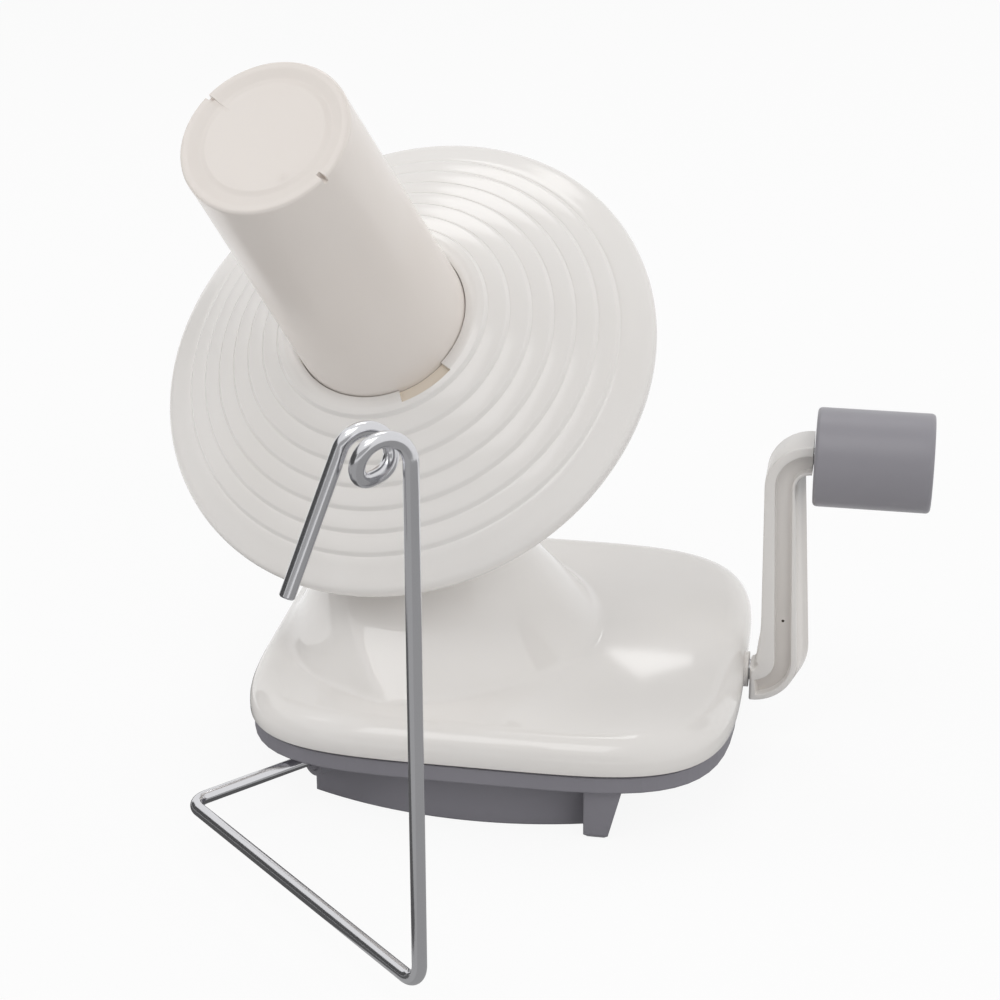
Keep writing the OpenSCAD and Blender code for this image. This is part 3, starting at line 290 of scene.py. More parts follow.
def disc_dome():
    """The disc: a profile turned about the spindle, with seven ring steps and two notches in its hole.

    The top falls in a straight line from the brow to the rim, and the ring lips stand on it. The rim is a
    cubic curve from that line to the edge, then more than half a circle under it. In a notch, heights inside
    its radius are pressed down to its floor, which the finish paints with a darker colour of painted shade.
    """
    rings = np.linspace(RING_FIRST, RING_LAST, RING_COUNT)
    brim = np.array([DISC_R - RIM_R, RIM_SWELL * RIM_R - DISC_DROP])
    slope = (brim[1] - HOLE_S) / (brim[0] - BROW_R)
    top_r = DISC_R - TOP_IN
    near = np.concatenate([-RING_POINTS, RING_POINTS])
    r = np.unique(np.concatenate([
        np.linspace(BROW_R, top_r, num=56), (rings[:, None] + near).ravel(),
        [NOTCH_R - CUT_STEP, NOTCH_R + CUT_STEP]
    ]))
    r = r[(r >= BROW_R) & (r <= top_r)]
    top = np.stack([r, HOLE_S + slope * (r - BROW_R) + RING_STEP * ring_lips(r, rings)], axis=-1)
    start = np.array([DISC_R - CREST_IN, HOLE_S + slope * (DISC_R - CREST_IN - BROW_R)])
    edge = np.array([DISC_R, -DISC_DROP])
    pulls = [start, start + CREST_PULL * np.array([1, slope]), edge + [0, CREST_EDGE], edge]
    t = np.linspace(0, 1, num=18)[:, None]
    crest = sum(k * (1 - t) ** (3 - i) * t ** i * pulls[i] for i, k in enumerate((1, 3, 3, 1)))
    under_rim = arc((DISC_R - RIM_R, -DISC_DROP), RIM_R, 0, -RIM_WRAP, count=26)[1:]
    seat = np.array([FLANGE_R + FLANGE_ROOM, SEAT_S])
    under = np.linspace(under_rim[-1] + UNDER_GAP * (seat - under_rim[-1]), seat, num=16)
    hole = np.array([
        [HOLE_R, SEAT_S], [HOLE_R, HOLE_S - HOLE_EDGE],
        [HOLE_R + HOLE_EDGE_IN, HOLE_S - HOLE_EDGE_IN], [HOLE_R + HOLE_EDGE, HOLE_S]
    ])
    profile = np.concatenate([hole, top, crest, under_rim, under])
    half = NOTCH_ANGLE / 2
    turn = turns_with([NOTCH_TURN + side + end for side in (0, 180) for end in (-half, half)])
    off = np.abs((np.degrees(turn) - NOTCH_TURN + 90) % 180 - 90)
    upper = (np.arange(len(profile)) < len(hole) + len(top)) & (profile[:, 0] < NOTCH_R)
    pocket = (off < half)[None, :] & upper[:, None]
    r = np.broadcast_to(profile[:, :1], pocket.shape)
    s = np.where(pocket, np.minimum(profile[:, 1:], HOLE_S - NOTCH_DEPTH), profile[:, 1:])
    dome = skin("disc_dome", spindle_place(r, s, turn[None, :]), loop=True)
    # Painted shade on the notch floors
    add_painted_shade(dome, pocket)
    return dome


def bobbin_tube():
    """The bobbin: a tapered wall turned about the spindle, with a flat rim, a dished end and two yarn slits.

    The end slopes in from the rim to a moat, rises by half of that, and is dished from there by the square of
    the radius. At the slits' angles the rim is pressed down to the slit's floor. On one side the end is
    pressed down too, by a depth that grows evenly from the groove's inner end. The mark of the mould's gate
    is a low bump, an exponential of minus the squared distance.
    """
    top = HOLE_S + BOBBIN_L
    rim_s, moat_s, floor_s = top - BOBBIN_RIM, top - MOAT_D, top - MOAT_D / 2
    flare = (BOBBIN_FOOT_R - BOBBIN_TOP_R) / BOBBIN_L
    foot_r = BOBBIN_FOOT_R + flare * (HOLE_S - SEAT_S)
    inside_r, under_s = BOBBIN_TOP_R - BOBBIN_WALL, floor_s - DISH_D - BOBBIN_WALL
    inside = np.array([
        [CAP_R, under_s], [inside_r - INSIDE_EDGE, under_s], [inside_r, under_s - INSIDE_EDGE],
        [foot_r - BOBBIN_WALL, SEAT_S]
    ])
    band_foot = [BOBBIN_TOP_R, rim_s - BOBBIN_BAND]
    wall = np.linspace([foot_r, SEAT_S], band_foot, num=14)
    band = np.linspace(band_foot, [BOBBIN_TOP_R, rim_s], num=6)[1:]
    lip = arc((BOBBIN_TOP_R - BOBBIN_RIM, rim_s), BOBBIN_RIM, 0, 90, count=8)[1:]
    lip_r = BOBBIN_TOP_R - BOBBIN_RIM - BOBBIN_LIP
    moat = np.array([
        [lip_r + LIP_SOFT, top], [lip_r - LIP_SOFT, top - LIP_SAG], [MOAT_R + MOAT_SOFT, moat_s + LIP_SAG],
        [MOAT_R - MOAT_IN, moat_s + MOAT_RISE], [DISH_R + MOAT_SOFT, floor_s - DISH_SAG], [DISH_R, floor_s]
    ])
    floor_r = np.linspace(DISH_R - DISH_IN, CAP_R, num=30)
    floor = np.stack([floor_r, floor_s - DISH_D * (1 - (floor_r / DISH_R) ** 2)], axis=-1)
    profile = np.concatenate([inside, wall, band, lip, moat, floor])
    on_end = (np.arange(len(profile)) >= len(inside) + len(wall) + len(band))[:, None]
    half = np.degrees(SLIT_W / 2 / BOBBIN_TOP_R)
    turn = turns_with([SLIT_TURN + side + end for side in (0, 180) for end in (-half, half)])[None, :]
    off = np.abs((np.degrees(turn) - SLIT_TURN + 90) % 180 - 90)
    r = np.broadcast_to(profile[:, :1], (len(profile), turn.shape[1]))
    s = np.broadcast_to(profile[:, 1:], r.shape)
    groove_end = BOBBIN_TOP_R - SLIT_L
    groove = GROOVE_D * np.clip((r - GROOVE_R) / (groove_end - GROOVE_R), 0, 1)
    one_side = np.cos(turn - np.radians(SLIT_TURN)) < 0
    cut = np.where(r > groove_end, np.minimum(s, top - SLIT_D), s - groove * one_side)
    s = np.where((off < half) & (on_end | (s > top - SLIT_D)), cut, s)
    mark = np.radians(MARK_TURN)
    x, y = r * np.cos(turn) - MARK_R * np.cos(mark), r * np.sin(turn) - MARK_R * np.sin(mark)
    along = MARK_SLANT[0] * y - MARK_SLANT[1] * x
    across = MARK_SLANT[0] * x + MARK_SLANT[1] * y
    s = s + on_end * MARK_H * np.exp(-(along / MARK_L) ** 2 - (across / MARK_W) ** 2)
    return skin("bobbin_tube", spindle_place(r, s, turn), cap_first=True, cap_last=True)


def arm_stops():
    """Places along the arm in X and Z, with the heading.

    The path leaves the shaft, bends up, runs straight and bends to the grip. The bends are circles, and the
    straight stretch between them is as long as the crank's radius asks for.
    """
    tip = np.radians(90 + ARM_LEAN)
    up = np.radians(np.linspace(0, 90 + ARM_LEAN, num=19))
    back = up[::-1]
    bend_x = ARM_X + ARM_LEAD + ARM_BEND * np.sin(up)
    bend_z = SEAM_Z - ARM_DROP + ARM_BEND * (1 - np.cos(up))
    straight = (CRANK_R + ARM_DROP - (ARM_BEND + ARM_TOP_BEND) * (1 - np.cos(tip))) / np.sin(tip)
    along = np.linspace(0, straight, num=16)[1:-1]
    top_x = bend_x[-1] + straight * np.cos(tip) + ARM_TOP_BEND * np.sin(tip)
    top_z = SEAM_Z + CRANK_R
    x = np.concatenate([
        [ARM_X], bend_x, bend_x[-1] + along * np.cos(tip),
        top_x - ARM_TOP_BEND * np.sin(back), [top_x + ARM_TIP]
    ])
    z = np.concatenate([
        bend_z[:1], bend_z, bend_z[-1] + along * np.sin(tip),
        top_z - ARM_TOP_BEND * (1 - np.cos(back)), [top_z]
    ])
    turn = np.concatenate([[0], up, np.full(len(along), tip), back, [0]])
    return x, z, turn


def arm_side(near, far):
    """One side of the arm's section, from the channel's middle to the back: width, taper and depth.

    Near and far are the widths at front and back. A taper of one means that the width shrinks up the arm. The
    corners are quarter circles.
    """
    front, back = -ARM_D / 2, ARM_D / 2
    slot, floor = ARM_CHANNEL / 2, front + CHANNEL_D
    corner = slot - CHANNEL_EDGE
    bend = np.radians(np.linspace(0, 90, num=4))
    rise, fall = np.sin(bend), 1 - np.cos(bend)
    plain, tapered = 0 * bend, 0 * bend + 1
    return np.concatenate([
        np.array([[0.0, 0.0, floor], [corner, 0.0, floor]]),
        np.stack([corner + CHANNEL_EDGE * rise, plain, floor - CHANNEL_EDGE * fall], axis=-1),
        np.stack([slot + CHANNEL_LIP * fall, plain, front + CHANNEL_LIP * (1 - rise)], axis=-1),
        np.stack([near - ARM_EDGE * (1 - rise), tapered, front + ARM_EDGE * fall], axis=-1),
        np.stack([far - ARM_EDGE * fall, tapered, back - ARM_EDGE * (1 - rise)], axis=-1),
    ])


def arm_bar():
    """The crank arm: a section with a channel in its front and a sloped outer side, carried along its path.

    The section's width shrinks evenly with height. The inner side is narrow at the shaft, widens evenly round
    the bend, and falls back by the square of the distance above it. The back is thin at the shaft, by the
    sine of the heading. There the channel is closed, and a quarter of an ellipse rounds the end. The finish
    has painted shade: a darker colour on the outer side, and on the channel's floor less and less up the arm.
    """
    x, z, turn = arm_stops()
    foot, front, back = SEAM_Z - ARM_DROP, -ARM_D / 2, ARM_D / 2
    height = ((z - foot) / (CRANK_R + ARM_DROP))[:, None]
    inner, outer = arm_side(ARM_INNER, ARM_INNER), arm_side(ARM_OUTER, ARM_OUTER + ARM_DRAFT)
    width, taper, depth = np.concatenate([inner, (outer * [-1, 1, 1])[:0:-1]]).T
    tapered = taper == 1
    wide = np.where(tapered, width * (1 - (1 - ARM_TAPER) * height), width)
    low = (z < SEAM_Z + CRANK_R / 2)[:, None]
    round_bend = np.clip(turn / turn.max(), 0, 1)[:, None]
    above = np.clip((z - foot - ARM_BEND) / FLARE_L, 0, 1)[:, None]
    neck = ARM_NECK - ARM_INNER
    flare = np.where(above > 0, ARM_FLARE * (1 - above) ** 2, 0)
    flare = flare + (round_bend < 1) * (neck + (ARM_FLARE - neck) * round_bend)
    wide = wide + np.where(low & tapered & (width > 0), flare, 0)
    thin = np.where(low, 1 - NECK_BACK * (1 - np.sin(turn))[:, None], 1)
    deep = np.where(depth > 0, depth * thin, depth)
    closed = (x - ARM_X < ARM_CLOSED)[:, None]
    deep = np.where(closed & ~tapered, front, deep)
    sine, cosine = np.sin(turn)[:, None], np.cos(turn)[:, None]
    grid = np.stack([x[:, None] - wide * sine, deep, z[:, None] + wide * cosine], axis=-1)
    ease = np.radians(np.linspace(0, ROUND_SPAN, num=6))[:, None]
    drawn_in = ARM_ROUND * (1 - np.sin(ease))
    end = np.stack([
        ARM_X + ARM_LEAD * (1 - np.cos(ease)) + 0 * wide[:1],
        np.clip(deep[:1], front + drawn_in, deep[0].max() - drawn_in),
        foot + np.clip(wide[:1], wide[0].min() + drawn_in, wide[0].max())
    ], axis=-1)
    arm = skin("arm_bar", np.concatenate([end, grid[1:]]), cap_first=True, cap_last=True, sharp=42.0)
    channel = ~tapered & (depth > front + CHANNEL_D - CHANNEL_EDGE / 3)
    outside = tapered & (width < 0) & (np.abs(depth) < back - 0.75 * ARM_EDGE)
    # Painted shade: the channel's floor darker lower down the arm, and the outer side darker all along
    channel_shade = CHANNEL_SHADE - CHANNEL_FADE * np.clip(height, 0, 1)
    painted_shade = (channel & ~closed) * channel_shade + SIDE_SHADE * outside
    cap_middles = np.zeros(2)
    add_painted_shade(arm, np.concatenate([np.zeros(end[..., 0].size), painted_shade[1:].ravel(), cap_middles]))
    return arm


def pin_end():
    """The end of a small pin in the arm's channel: a low dome that falls by the square of the radius.

    Its dark finish is painted shade, standing for a pinhole.
    """
    turn = np.linspace(0, 2 * np.pi, num=24, endpoint=False)[None, :]
    floor = -ARM_D / 2 + CHANNEL_D
    share = np.linspace(1, 0.1, num=8)[:, None]
    proud = PIN_DOME * (1 - share ** 2) - PIN_SUNK
    r = PIN_R * np.concatenate([share[:1], share]) + 0 * turn
    depth = np.concatenate([[[floor + PIN_L]], floor - proud]) + 0 * turn
    grid = np.stack([PIN_X + r * np.cos(turn), depth, PIN_Z + r * np.sin(turn)], axis=-1)
    return skin("pin_end", grid, cap_first=True, cap_last=True)


def grip_drum():
    """The grip: a drum with rounded ends, turned about its pin, with a bore and a sunk end."""
    left = arm_stops()[0][-1] + GRIP_GAP
    low = arc((GRIP_R - GRIP_EDGE, GRIP_EDGE), GRIP_EDGE, -90, 0, count=7)
    high = arc((GRIP_R - GRIP_EDGE, GRIP_L - GRIP_EDGE), GRIP_EDGE, 0, 90, count=7)
    wall = np.linspace(low[-1], high[0], num=10)[1:-1]
    sink = np.array([
        [SINK_R + SINK_EDGE, GRIP_L], [SINK_R + SINK_EDGE_IN, GRIP_L - SINK_EDGE_IN],
        [SINK_R, GRIP_L - SINK_EDGE], [SINK_R, GRIP_L - SINK_D], [GRIP_PIN_R, GRIP_L - SINK_D]
    ])
    profile = np.concatenate([[[GRIP_PIN_R, 0], [GRIP_R / 2, 0]], low, wall, high, sink])
    turn = np.linspace(0, 2 * np.pi, num=160, endpoint=False)[None, :]
    r = profile[:, :1] + 0 * turn
    return skin("grip_drum", crank_place(r, left + profile[:, 1:], turn, SEAM_Z + CRANK_R), loop=True)


def guide_path():
    """The guide's places: out of the socket, a bend, the low run, a bend up, the eye's coil and the free end.

    Bends are quarter circles, and the coil turns about a line along the low run while it moves back along it.
    Its radius shrinks below its middle, by the square of the sine of its turn.
    """
    t = np.radians(SOCKET_TURN)
    out = np.array([np.cos(t), np.sin(t), 0])
    along = np.array([-np.sin(t), np.cos(t), 0])
    up = np.array([0, 0, 1.0])
    corner_1 = SOCKET + GUIDE_OUT * out
    corner_2 = corner_1 + GUIDE_RUN * along
    eye = corner_2 + GUIDE_H * up + EYE_R * out

    def bend(corner, first, then, r):
        """A quarter circle of radius r that joins two directions at a corner."""
        q = np.radians(np.linspace(0, 90, num=15))[:, None]
        return corner + r * (np.sin(q) - 1) * first + r * (1 - np.cos(q)) * then

    def stretch(a, b, count):
        """Evenly spaced places between two points, without the points themselves."""
        return a + (b - a) * np.linspace(0, 1, count + 2)[1:-1, None]

    q = np.radians(np.linspace(0, 360 * EYE_TURNS - FREE_LEAN, num=100))[:, None]
    r = EYE_R * (1 - EYE_PINCH * np.clip(-np.sin(q), 0, None) ** 2)
    coil = eye + r * (np.sin(q) * up - np.cos(q) * out) - EYE_PITCH * q / (2 * np.pi) * along
    lean = np.radians(FREE_LEAN)
    down = -np.cos(lean) * up + np.sin(lean) * out
    first, second = bend(corner_1, out, along, GUIDE_BEND_1), bend(corner_2, along, up, GUIDE_BEND_2)
    start = SOCKET - SOCKET_L * out
    return np.concatenate([
        [start], stretch(start, first[0], count=8), first, stretch(first[-1], second[0], count=14), second,
        stretch(second[-1], coil[0], count=20), coil, coil[-1] + down * FREE_STOPS[:, None]
    ])


def sweep(path, slant, r, sides, ends):
    """Rings of points round a path, square to it.

    A ring's first axis is the cross product of a slanted line, which the path never follows, and the path's
    direction. The radius is drawn in at both ends by a share, so that the ends have broken edges.
    """
    step = np.gradient(path, axis=0)
    tangent = step / np.linalg.norm(step, axis=1, keepdims=True)
    across = np.cross(slant, tangent)
    across = across / np.linalg.norm(across, axis=1, keepdims=True)
    other = np.cross(tangent, across)
    t = np.linspace(0, 2 * np.pi, sides, endpoint=False)
    ring = np.cos(t)[None, :, None] * across[:, None] + np.sin(t)[None, :, None] * other[:, None]
    reach = np.full(len(path), r)
    reach[[0, -1]] = r * ends
    return path[:, None] + reach[:, None, None] * ring


def guide_wire():
    """The guide: one wire of round section along its path, with slightly broken ends."""
    path = guide_path()
    first, last = path[1] - path[0], path[-1] - path[-2]
    path = np.concatenate([
        path[:1], path[:1] + WIRE_END_L * first / np.linalg.norm(first), path[1:-1],
        path[-1:] - WIRE_END_L * last / np.linalg.norm(last), path[-1:]
    ])
    t = np.radians(SOCKET_TURN)
    slant = np.array([np.cos(t) - np.sin(t), np.sin(t) + np.cos(t), 1.0])
    grid = sweep(path, slant, WIRE_R, WIRE_SIDES, WIRE_END)
    return skin("guide_wire", grid, cap_first=True, cap_last=True)


# Finishes

def group(name, inputs, outputs):
    """An empty shader group with named sockets, and its input and output nodes."""
    tree = bpy.data.node_groups.new(name, "ShaderNodeTree")
    for label, kind, value in inputs:
        socket = tree.interface.new_socket(label, in_out="INPUT", socket_type=kind)
        socket.default_value = value
    for label, kind in outputs:
        tree.interface.new_socket(label, in_out="OUTPUT", socket_type=kind)
    return tree, tree.nodes.new("NodeGroupInput"), tree.nodes.new("NodeGroupOutput")


def link(tree, *pairs):
    """Joins sockets in pairs, each from an output to an input."""
    for source, target in pairs:
        tree.links.new(source, target)


def node(tree, kind, **settings):
    """A new node, with settings by attribute, or by input name where the name is given with in_ in front."""
    made = tree.nodes.new(kind)
    for key, value in settings.items():
        if key.startswith("in_"):
            made.inputs[key[3:].replace("_", " ")].default_value = value
        else:
            setattr(made, key, value)
    return made


def moulded_grain():
    """Height of a moulded surface: a slow waviness from cooling and a fine grain from the mould."""
    tree, gin, gout = group(
        "moulded_grain",
        [("Grain Size", "NodeSocketFloat", 900.0), ("Grain", "NodeSocketFloat", 0.3)],
        [("Height", "NodeSocketFloat")],
    )
    place = node(tree, "ShaderNodeTexCoord")
    fine = node(tree, "ShaderNodeTexNoise", in_Detail=3.0, in_Roughness=0.6)
    slow = node(tree, "ShaderNodeTexNoise", in_Scale=38.0, in_Detail=1.0)
    share = node(tree, "ShaderNodeMath", operation="MULTIPLY")
    add = node(tree, "ShaderNodeMath", operation="ADD")
    link(
        tree,
        (place.outputs["Object"], fine.inputs["Vector"]), (place.outputs["Object"], slow.inputs["Vector"]),
        (gin.outputs["Grain Size"], fine.inputs["Scale"]),
        (fine.outputs["Fac"], share.inputs[0]), (gin.outputs["Grain"], share.inputs[1]),
        (slow.outputs["Fac"], add.inputs[0]), (share.outputs[0], add.inputs[1]),
        (add.outputs[0], gout.inputs["Height"]),
    )
    return tree


def handled_wear():
    """Signs of use: a colour that varies by patches and specks, and a roughness that varies by patches."""
    tree, gin, gout = group(
        "handled_wear",
        [
            ("Colour", "NodeSocketColor", (0.8, 0.8, 0.8, 1)),
            ("Worn Colour", "NodeSocketColor", (0.7, 0.7, 0.7, 1)),
            ("Amount", "NodeSocketFloat", 0.3), ("Roughness", "NodeSocketFloat", 0.3),
            ("Spread", "NodeSocketFloat", 0.1),
        ],
        [("Colour", "NodeSocketColor"), ("Roughness", "NodeSocketFloat")],
    )
    place = node(tree, "ShaderNodeTexCoord")
    patch = node(tree, "ShaderNodeTexNoise", in_Scale=26.0, in_Detail=4.0, in_Roughness=0.55)
    speck = node(tree, "ShaderNodeTexNoise", in_Scale=700.0, in_Detail=2.0)
    patch_mask = node(tree, "ShaderNodeMapRange", in_From_Min=0.38, in_From_Max=0.72)
    speck_mask = node(tree, "ShaderNodeMapRange", in_From_Min=0.72, in_From_Max=0.80)
    both = node(tree, "ShaderNodeMath", operation="MAXIMUM")
    fac = node(tree, "ShaderNodeMath", operation="MULTIPLY")
    mix = node(tree, "ShaderNodeMix", data_type="RGBA")
    offset = node(tree, "ShaderNodeMath", operation="MULTIPLY_ADD")
    centre = node(tree, "ShaderNodeMath", operation="SUBTRACT")
    centre.inputs[1].default_value = 0.5
    link(
        tree,
        (place.outputs["Object"], patch.inputs["Vector"]), (place.outputs["Object"], speck.inputs["Vector"]),
        (patch.outputs["Fac"], patch_mask.inputs["Value"]),
        (speck.outputs["Fac"], speck_mask.inputs["Value"]),
        (patch_mask.outputs[0], both.inputs[0]), (speck_mask.outputs[0], both.inputs[1]),
        (both.outputs[0], fac.inputs[0]), (gin.outputs["Amount"], fac.inputs[1]),
        (fac.outputs[0], mix.inputs["Factor"]), (gin.outputs["Colour"], mix.inputs["A"]),
        (gin.outputs["Worn Colour"], mix.inputs["B"]), (mix.outputs["Result"], gout.inputs["Colour"]),
        (patch.outputs["Fac"], centre.inputs[0]), (centre.outputs[0], offset.inputs[0]),
        (gin.outputs["Spread"], offset.inputs[1]), (gin.outputs["Roughness"], offset.inputs[2]),
        (offset.outputs[0], gout.inputs["Roughness"]),
    )
    return tree


def srgb(r, g, b):
    """A colour written as on a screen, from 0 to 255, as the linear colour that shaders take."""
    c = np.array([r, g, b]) / 255
    return tuple(np.where(c <= 0.04045, c / 12.92, ((c + 0.055) / 1.055) ** 2.4)) + (1.0,)


GRAIN, WEAR = moulded_grain(), handled_wear()
GRAIN_HEIGHT = 0.0004


def finish(name, colour, worn, roughness, wear=0.3, spread=0.1, grain=0.3, grain_size=900.0, bump=0.05,
           round_edge=0.0, metallic=0.0, painted_shade=None):
    """A moulded or metal finish: patches of wear on colour and roughness, and a bump from the grain.

    A round edge, in metres, softens the light along sharp edges of carried-over solids. A painted shade is a
    darker colour for shade, which takes over where the piece's own painted shade attribute is one.
    """
    material = bpy.data.materials.new(name)
    material.use_nodes = True
    tree = material.node_tree
    bsdf = tree.nodes["Principled BSDF"]
    bsdf.inputs["Metallic"].default_value = metallic
    used = node(
        tree, "ShaderNodeGroup", node_tree=WEAR, in_Colour=colour, in_Worn_Colour=worn, in_Amount=wear,
        in_Roughness=roughness, in_Spread=spread
    )
    mould = node(tree, "ShaderNodeGroup", node_tree=GRAIN, in_Grain_Size=grain_size, in_Grain=grain)
    raised = node(tree, "ShaderNodeBump", in_Strength=bump, in_Distance=GRAIN_HEIGHT)
    link(
        tree,
        (used.outputs["Colour"], bsdf.inputs["Base Color"]),
        (used.outputs["Roughness"], bsdf.inputs["Roughness"]),
        (mould.outputs["Height"], raised.inputs["Height"]), (raised.outputs["Normal"], bsdf.inputs["Normal"]),
    )
    # Painted shade: the darker colour takes over by the piece's painted shade attribute
    if painted_shade:
        where = node(tree, "ShaderNodeAttribute", attribute_name="painted_shade")
        mix = node(tree, "ShaderNodeMix", data_type="RGBA", in_B=painted_shade)
        link(
            tree,
            (where.outputs["Fac"], mix.inputs["Factor"]), (used.outputs["Colour"], mix.inputs["A"]),
            (mix.outputs["Result"], bsdf.inputs["Base Color"]),
        )
    if round_edge:
        soft = node(tree, "ShaderNodeBevel", samples=6, in_Radius=round_edge)
        link(tree, (soft.outputs["Normal"], raised.inputs["Normal"]))
    return material


WHITE, CREAM = srgb(234, 231, 228), srgb(227, 222, 215)
white_gloss = finish("white_gloss", WHITE, CREAM, roughness=0.04, wear=0.2, spread=0.02, bump=0.006)
# The disc's darker cream is painted shade for the floors of its notches
white_disc = finish(
    "white_disc", WHITE, CREAM, roughness=0.15, wear=0.2, spread=0.04, bump=0.02, painted_shade=srgb(231, 220, 205)
)
# The arm's darker grey-beige is painted shade for its channel and outer side
white_satin = finish(
    "white_satin", WHITE, CREAM, roughness=0.24, wear=0.2, spread=0.04, bump=0.03, painted_shade=srgb(199, 190, 182)
)
# The bobbin's white is painted warmer and a little darker, for warm light bounced onto it
white_painted_warm_bounce = finish(
    "white_painted_warm_bounce", srgb(232, 225, 219), srgb(226, 216, 207), roughness=0.24, wear=0.2, spread=0.04, bump=0.03
)
white_edge = finish(
    "white_edge", WHITE, CREAM, roughness=0.34, wear=0.25, spread=0.12, bump=0.05, round_edge=0.0005
)
grey_shell = finish(
    "grey_shell", srgb(138, 136, 143), srgb(124, 122, 130), roughness=0.42, wear=0.35, bump=0.06,
    round_edge=0.0006
)
grip_grey = finish(
    "grip_grey", srgb(146, 144, 150), srgb(132, 130, 137), roughness=0.40, wear=0.35, grain=0.5, bump=0.08
)
gear_nylon = finish(
    "gear_nylon", srgb(238, 234, 222), srgb(226, 220, 202), roughness=0.38, wear=0.4, round_edge=0.0002
)
chrome = finish(
    "chrome", srgb(214, 214, 217), srgb(198, 198, 201), roughness=0.16, wear=0.25, spread=0.05, grain=0.2,
    bump=0.003, metallic=1.0
)
bright_steel = finish(
    "bright_steel", srgb(176, 176, 178), srgb(150, 149, 150), roughness=0.28, wear=0.4, grain=0.5,
    grain_size=1600.0, metallic=1.0, round_edge=0.0002
)
# The pin end's dark steel is painted shade, standing for a small dark pinhole in the channel
pinhole_shade_steel = finish("pinhole_shade_steel", srgb(74, 68, 62), srgb(60, 54, 50), roughness=0.4, metallic=0.6)
bronze = finish("bronze", srgb(196, 160, 104), srgb(160, 124, 78), roughness=0.36, wear=0.5, metallic=1.0)

FINISHES = {
    "white_plastic": white_edge, "grey_plastic": grey_shell, "grip_plastic": grip_grey,
    "gear_plastic": gear_nylon, "steel": bright_steel, "chrome_wire": chrome, "bronze": bronze,
}
for part in frame["record"]["subparts"]:
    solid = frame["nodes"][part["node"]]
    solid.data.materials.clear()
    solid.data.materials.append(FINISHES[part["material_slot"]])

for piece, solid, body, slot, material in (
    (cover_shell(), "base_cover", "base", "white_plastic", white_gloss),
    (disc_dome(), "winding_disc", "bobbin", "white_plastic", white_disc),
    (bobbin_tube(), "bobbin", "bobbin", "white_plastic", white_painted_warm_bounce),
    (arm_bar(), "crank_arm", "crank", "white_plastic", white_satin),
    (pin_end(), None, "crank", "steel", pinhole_shade_steel),
    (grip_drum(), "crank_grip", "grip", "grip_plastic", grip_grey),
    (guide_wire(), "yarn_guide", "guide", "chrome_wire", chrome),
):
    piece.data.materials.append(material)
    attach(piece, body)
    if solid:
        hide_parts(solid)


# Studio, in metres

LAMP_AIM = (0.02, 0, 0.05)
SKY_LIGHT, SKY_SEEN = 0.34, 1.0
FLOOR_REACH, FLOOR_Z, FLOOR_GREY, FLOOR_GLOW = 6.0, -0.0002, 0.78, 0.91
CARD_Z, NEAR_CARD_Z = -0.0001, -0.00005
LENS, SENSOR = 81.0, 36.0
CAMERA_PLACE, CAMERA_TURN, CAMERA_DIP = (0.1072, -0.4871, 0.2706), 9.80, 23.27


def lamp(name, place, size, power, mirrored=True):
    """A soft box: an area lamp at a place, aimed at the object, which glossy surfaces mirror or not."""
    data = bpy.data.lights.new(name, "AREA")
    data.shape = "RECTANGLE"
    data.size, data.size_y = size
    data.energy = power
    made = bpy.data.objects.new(name, data)
    bpy.context.scene.collection.objects.link(made)
    away = np.array(place) - np.array(LAMP_AIM)
    made.location = place
    turn = np.arctan2(away[1], away[0]) + np.pi / 2
    lean = np.arctan2(np.hypot(away[0], away[1]), away[2])
    made.rotation_euler = (lean, 0, turn)
    made.visible_glossy = mirrored


lamp("front_high_box", (-0.08, -0.62, 1.14), size=(0.6, 0.6), power=2.4)
lamp("back_high_box", (-0.13, 0.59, 1.23), size=(0.5, 0.4), power=1.7)
lamp("left_high_box", (-0.62, -0.15, 1.19), size=(0.3, 0.3), power=0.36)
lamp("right_front_box", (0.75, -0.85, 0.85), size=(0.7, 0.7), power=3.3, mirrored=False)
lamp("right_box", (1.2, 0.0, 0.7), size=(0.7, 0.7), power=2.1, mirrored=False)
lamp("left_front_box", (-0.85, -0.85, 0.7), size=(0.7, 0.7), power=1.26, mirrored=False)
lamp("left_box", (-1.1, 0.0, 0.6), size=(0.6, 0.6), power=3.7, mirrored=False)
lamp("back_right_box", (0.8, 0.9, 0.9), size=(0.9, 0.9), power=4.5, mirrored=False)


def seen_or_mirrored(tree):
    """A value that is one for rays from the camera, off a mirror or through a clear piece, or else zero."""
    rays = node(tree, "ShaderNodeLightPath")
    mirrored = node(tree, "ShaderNodeMath", operation="MAXIMUM")
    through = node(tree, "ShaderNodeMath", operation="MAXIMUM")
    link(
        tree,
        (rays.outputs["Is Camera Ray"], mirrored.inputs[0]),
        (rays.outputs["Is Glossy Ray"], mirrored.inputs[1]),
        (mirrored.outputs[0], through.inputs[0]), (rays.outputs["Is Transmission Ray"], through.inputs[1]),
    )
    return through.outputs[0]


world = bpy.data.worlds.new("studio")
bpy.context.scene.world = world
world.use_nodes = True
sky = world.node_tree
ground = sky.nodes["Background"]
ground.inputs["Color"].default_value = (1, 1, 1, 1)
level = node(sky, "ShaderNodeMapRange", in_To_Min=SKY_LIGHT, in_To_Max=SKY_SEEN)
link(sky, (seen_or_mirrored(sky), level.inputs["Value"]), (level.outputs[0], ground.inputs["Strength"]))

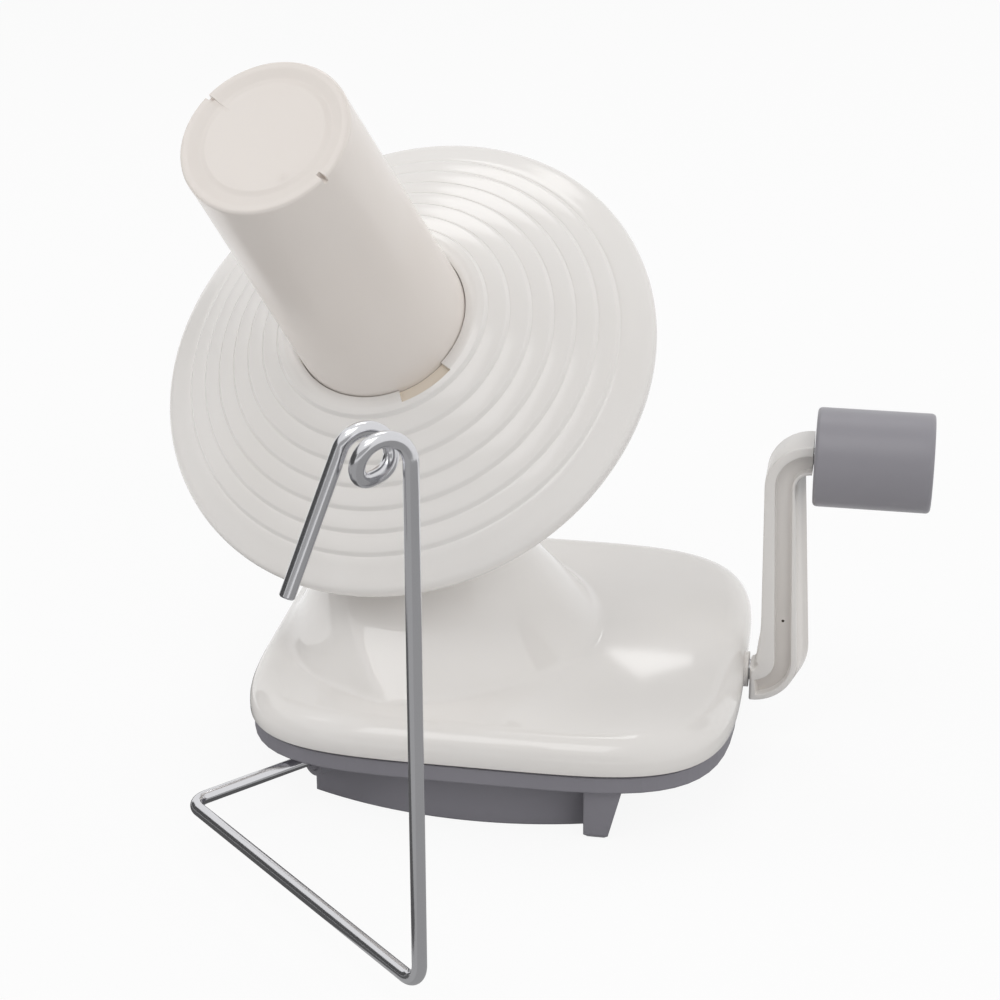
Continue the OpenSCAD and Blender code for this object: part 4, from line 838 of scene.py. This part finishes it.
floor_mesh = bpy.data.meshes.new("floor")
floor_corners = [(x * FLOOR_REACH, y * FLOOR_REACH, 0) for x, y in ((-1, -1), (1, -1), (1, 1), (-1, 1))]
floor_mesh.from_pydata(floor_corners, [], [(0, 1, 2, 3)])
floor = bpy.data.objects.new("floor", floor_mesh)
floor.location.z = FLOOR_Z
bpy.context.scene.collection.objects.link(floor)
pale = bpy.data.materials.new("pale_floor")
pale.use_nodes = True
tree = pale.node_tree
tree.nodes.remove(tree.nodes["Principled BSDF"])
matt = node(tree, "ShaderNodeBsdfDiffuse", in_Color=(FLOOR_GREY, FLOOR_GREY, FLOOR_GREY, 1))
glow = node(tree, "ShaderNodeEmission", in_Color=(1, 1, 1, 1), in_Strength=1.0)
seen = node(tree, "ShaderNodeMath", operation="MULTIPLY")
seen.inputs[1].default_value = FLOOR_GLOW
blend = node(tree, "ShaderNodeMixShader")
link(
    tree,
    (seen_or_mirrored(tree), seen.inputs[0]), (seen.outputs[0], blend.inputs["Fac"]),
    (matt.outputs[0], blend.inputs[1]), (glow.outputs[0], blend.inputs[2]),
    (blend.outputs[0], tree.nodes["Material Output"].inputs["Surface"]),
)
floor_mesh.materials.append(pale)


def card(name, corners, level):
    """A flat studio card that only mirrors show: a polygon that glows at a level."""
    mesh = bpy.data.meshes.new(name)
    mesh.from_pydata(corners, [], [tuple(range(len(corners)))])
    material = bpy.data.materials.new(name)
    material.use_nodes = True
    tree = material.node_tree
    tree.nodes.remove(tree.nodes["Principled BSDF"])
    light = node(tree, "ShaderNodeEmission", in_Strength=level)
    link(tree, (light.outputs[0], tree.nodes["Material Output"].inputs["Surface"]))
    mesh.materials.append(material)
    made = bpy.data.objects.new(name, mesh)
    bpy.context.scene.collection.objects.link(made)
    made.visible_camera = made.visible_diffuse = made.visible_shadow = made.visible_transmission = False


def lying_card(name, left, right, near, far, z, level):
    """A card that lies on the floor, between two places in X and two in Y."""
    card(name, [(left, near, z), (right, near, z), (right, far, z), (left, far, z)], level)


card("window_card", [
    (-0.087, 1.136, 0.615), (-0.050, 1.136, 0.613), (-0.015, 1.136, 0.615), (-0.015, 1.136, 0.622),
    (-0.057, 1.136, 0.639), (-0.076, 1.136, 0.626)
], level=3.0)
lying_card("table_card", left=-0.9, right=0.02, near=-1.1, far=0.03, z=CARD_Z, level=0.45)
lying_card("dark_card", left=0.02, right=1.1, near=-1.1, far=0.03, z=CARD_Z, level=0.39)
# Painted shade: a dark card under the object, seen only in reflections, stands for the floor in its shade
lying_card("near_shade_card", left=-0.15, right=0.0, near=-0.16, far=0.02, z=NEAR_CARD_Z, level=0.12)
card("front_card", [(-1.0, -1.5, 0.2), (0.7, -1.5, 0.2), (0.7, -1.5, 0.9), (-1.0, -1.5, 0.9)], level=0.45)
card("left_card", [(-0.6, -0.8, 0.0), (-0.6, 0.4, 0.0), (-0.6, 0.4, 0.42), (-0.6, -0.8, 0.42)], level=0.10)

camera = bpy.data.objects.new("camera", bpy.data.cameras.new("camera"))
bpy.context.scene.collection.objects.link(camera)
camera.data.lens = LENS
camera.data.sensor_width = SENSOR
camera.location = CAMERA_PLACE
camera.rotation_euler = (np.radians(90 - CAMERA_DIP), 0, np.radians(CAMERA_TURN))
bpy.context.scene.camera = camera
bpy.context.scene.view_settings.view_transform = "Standard"
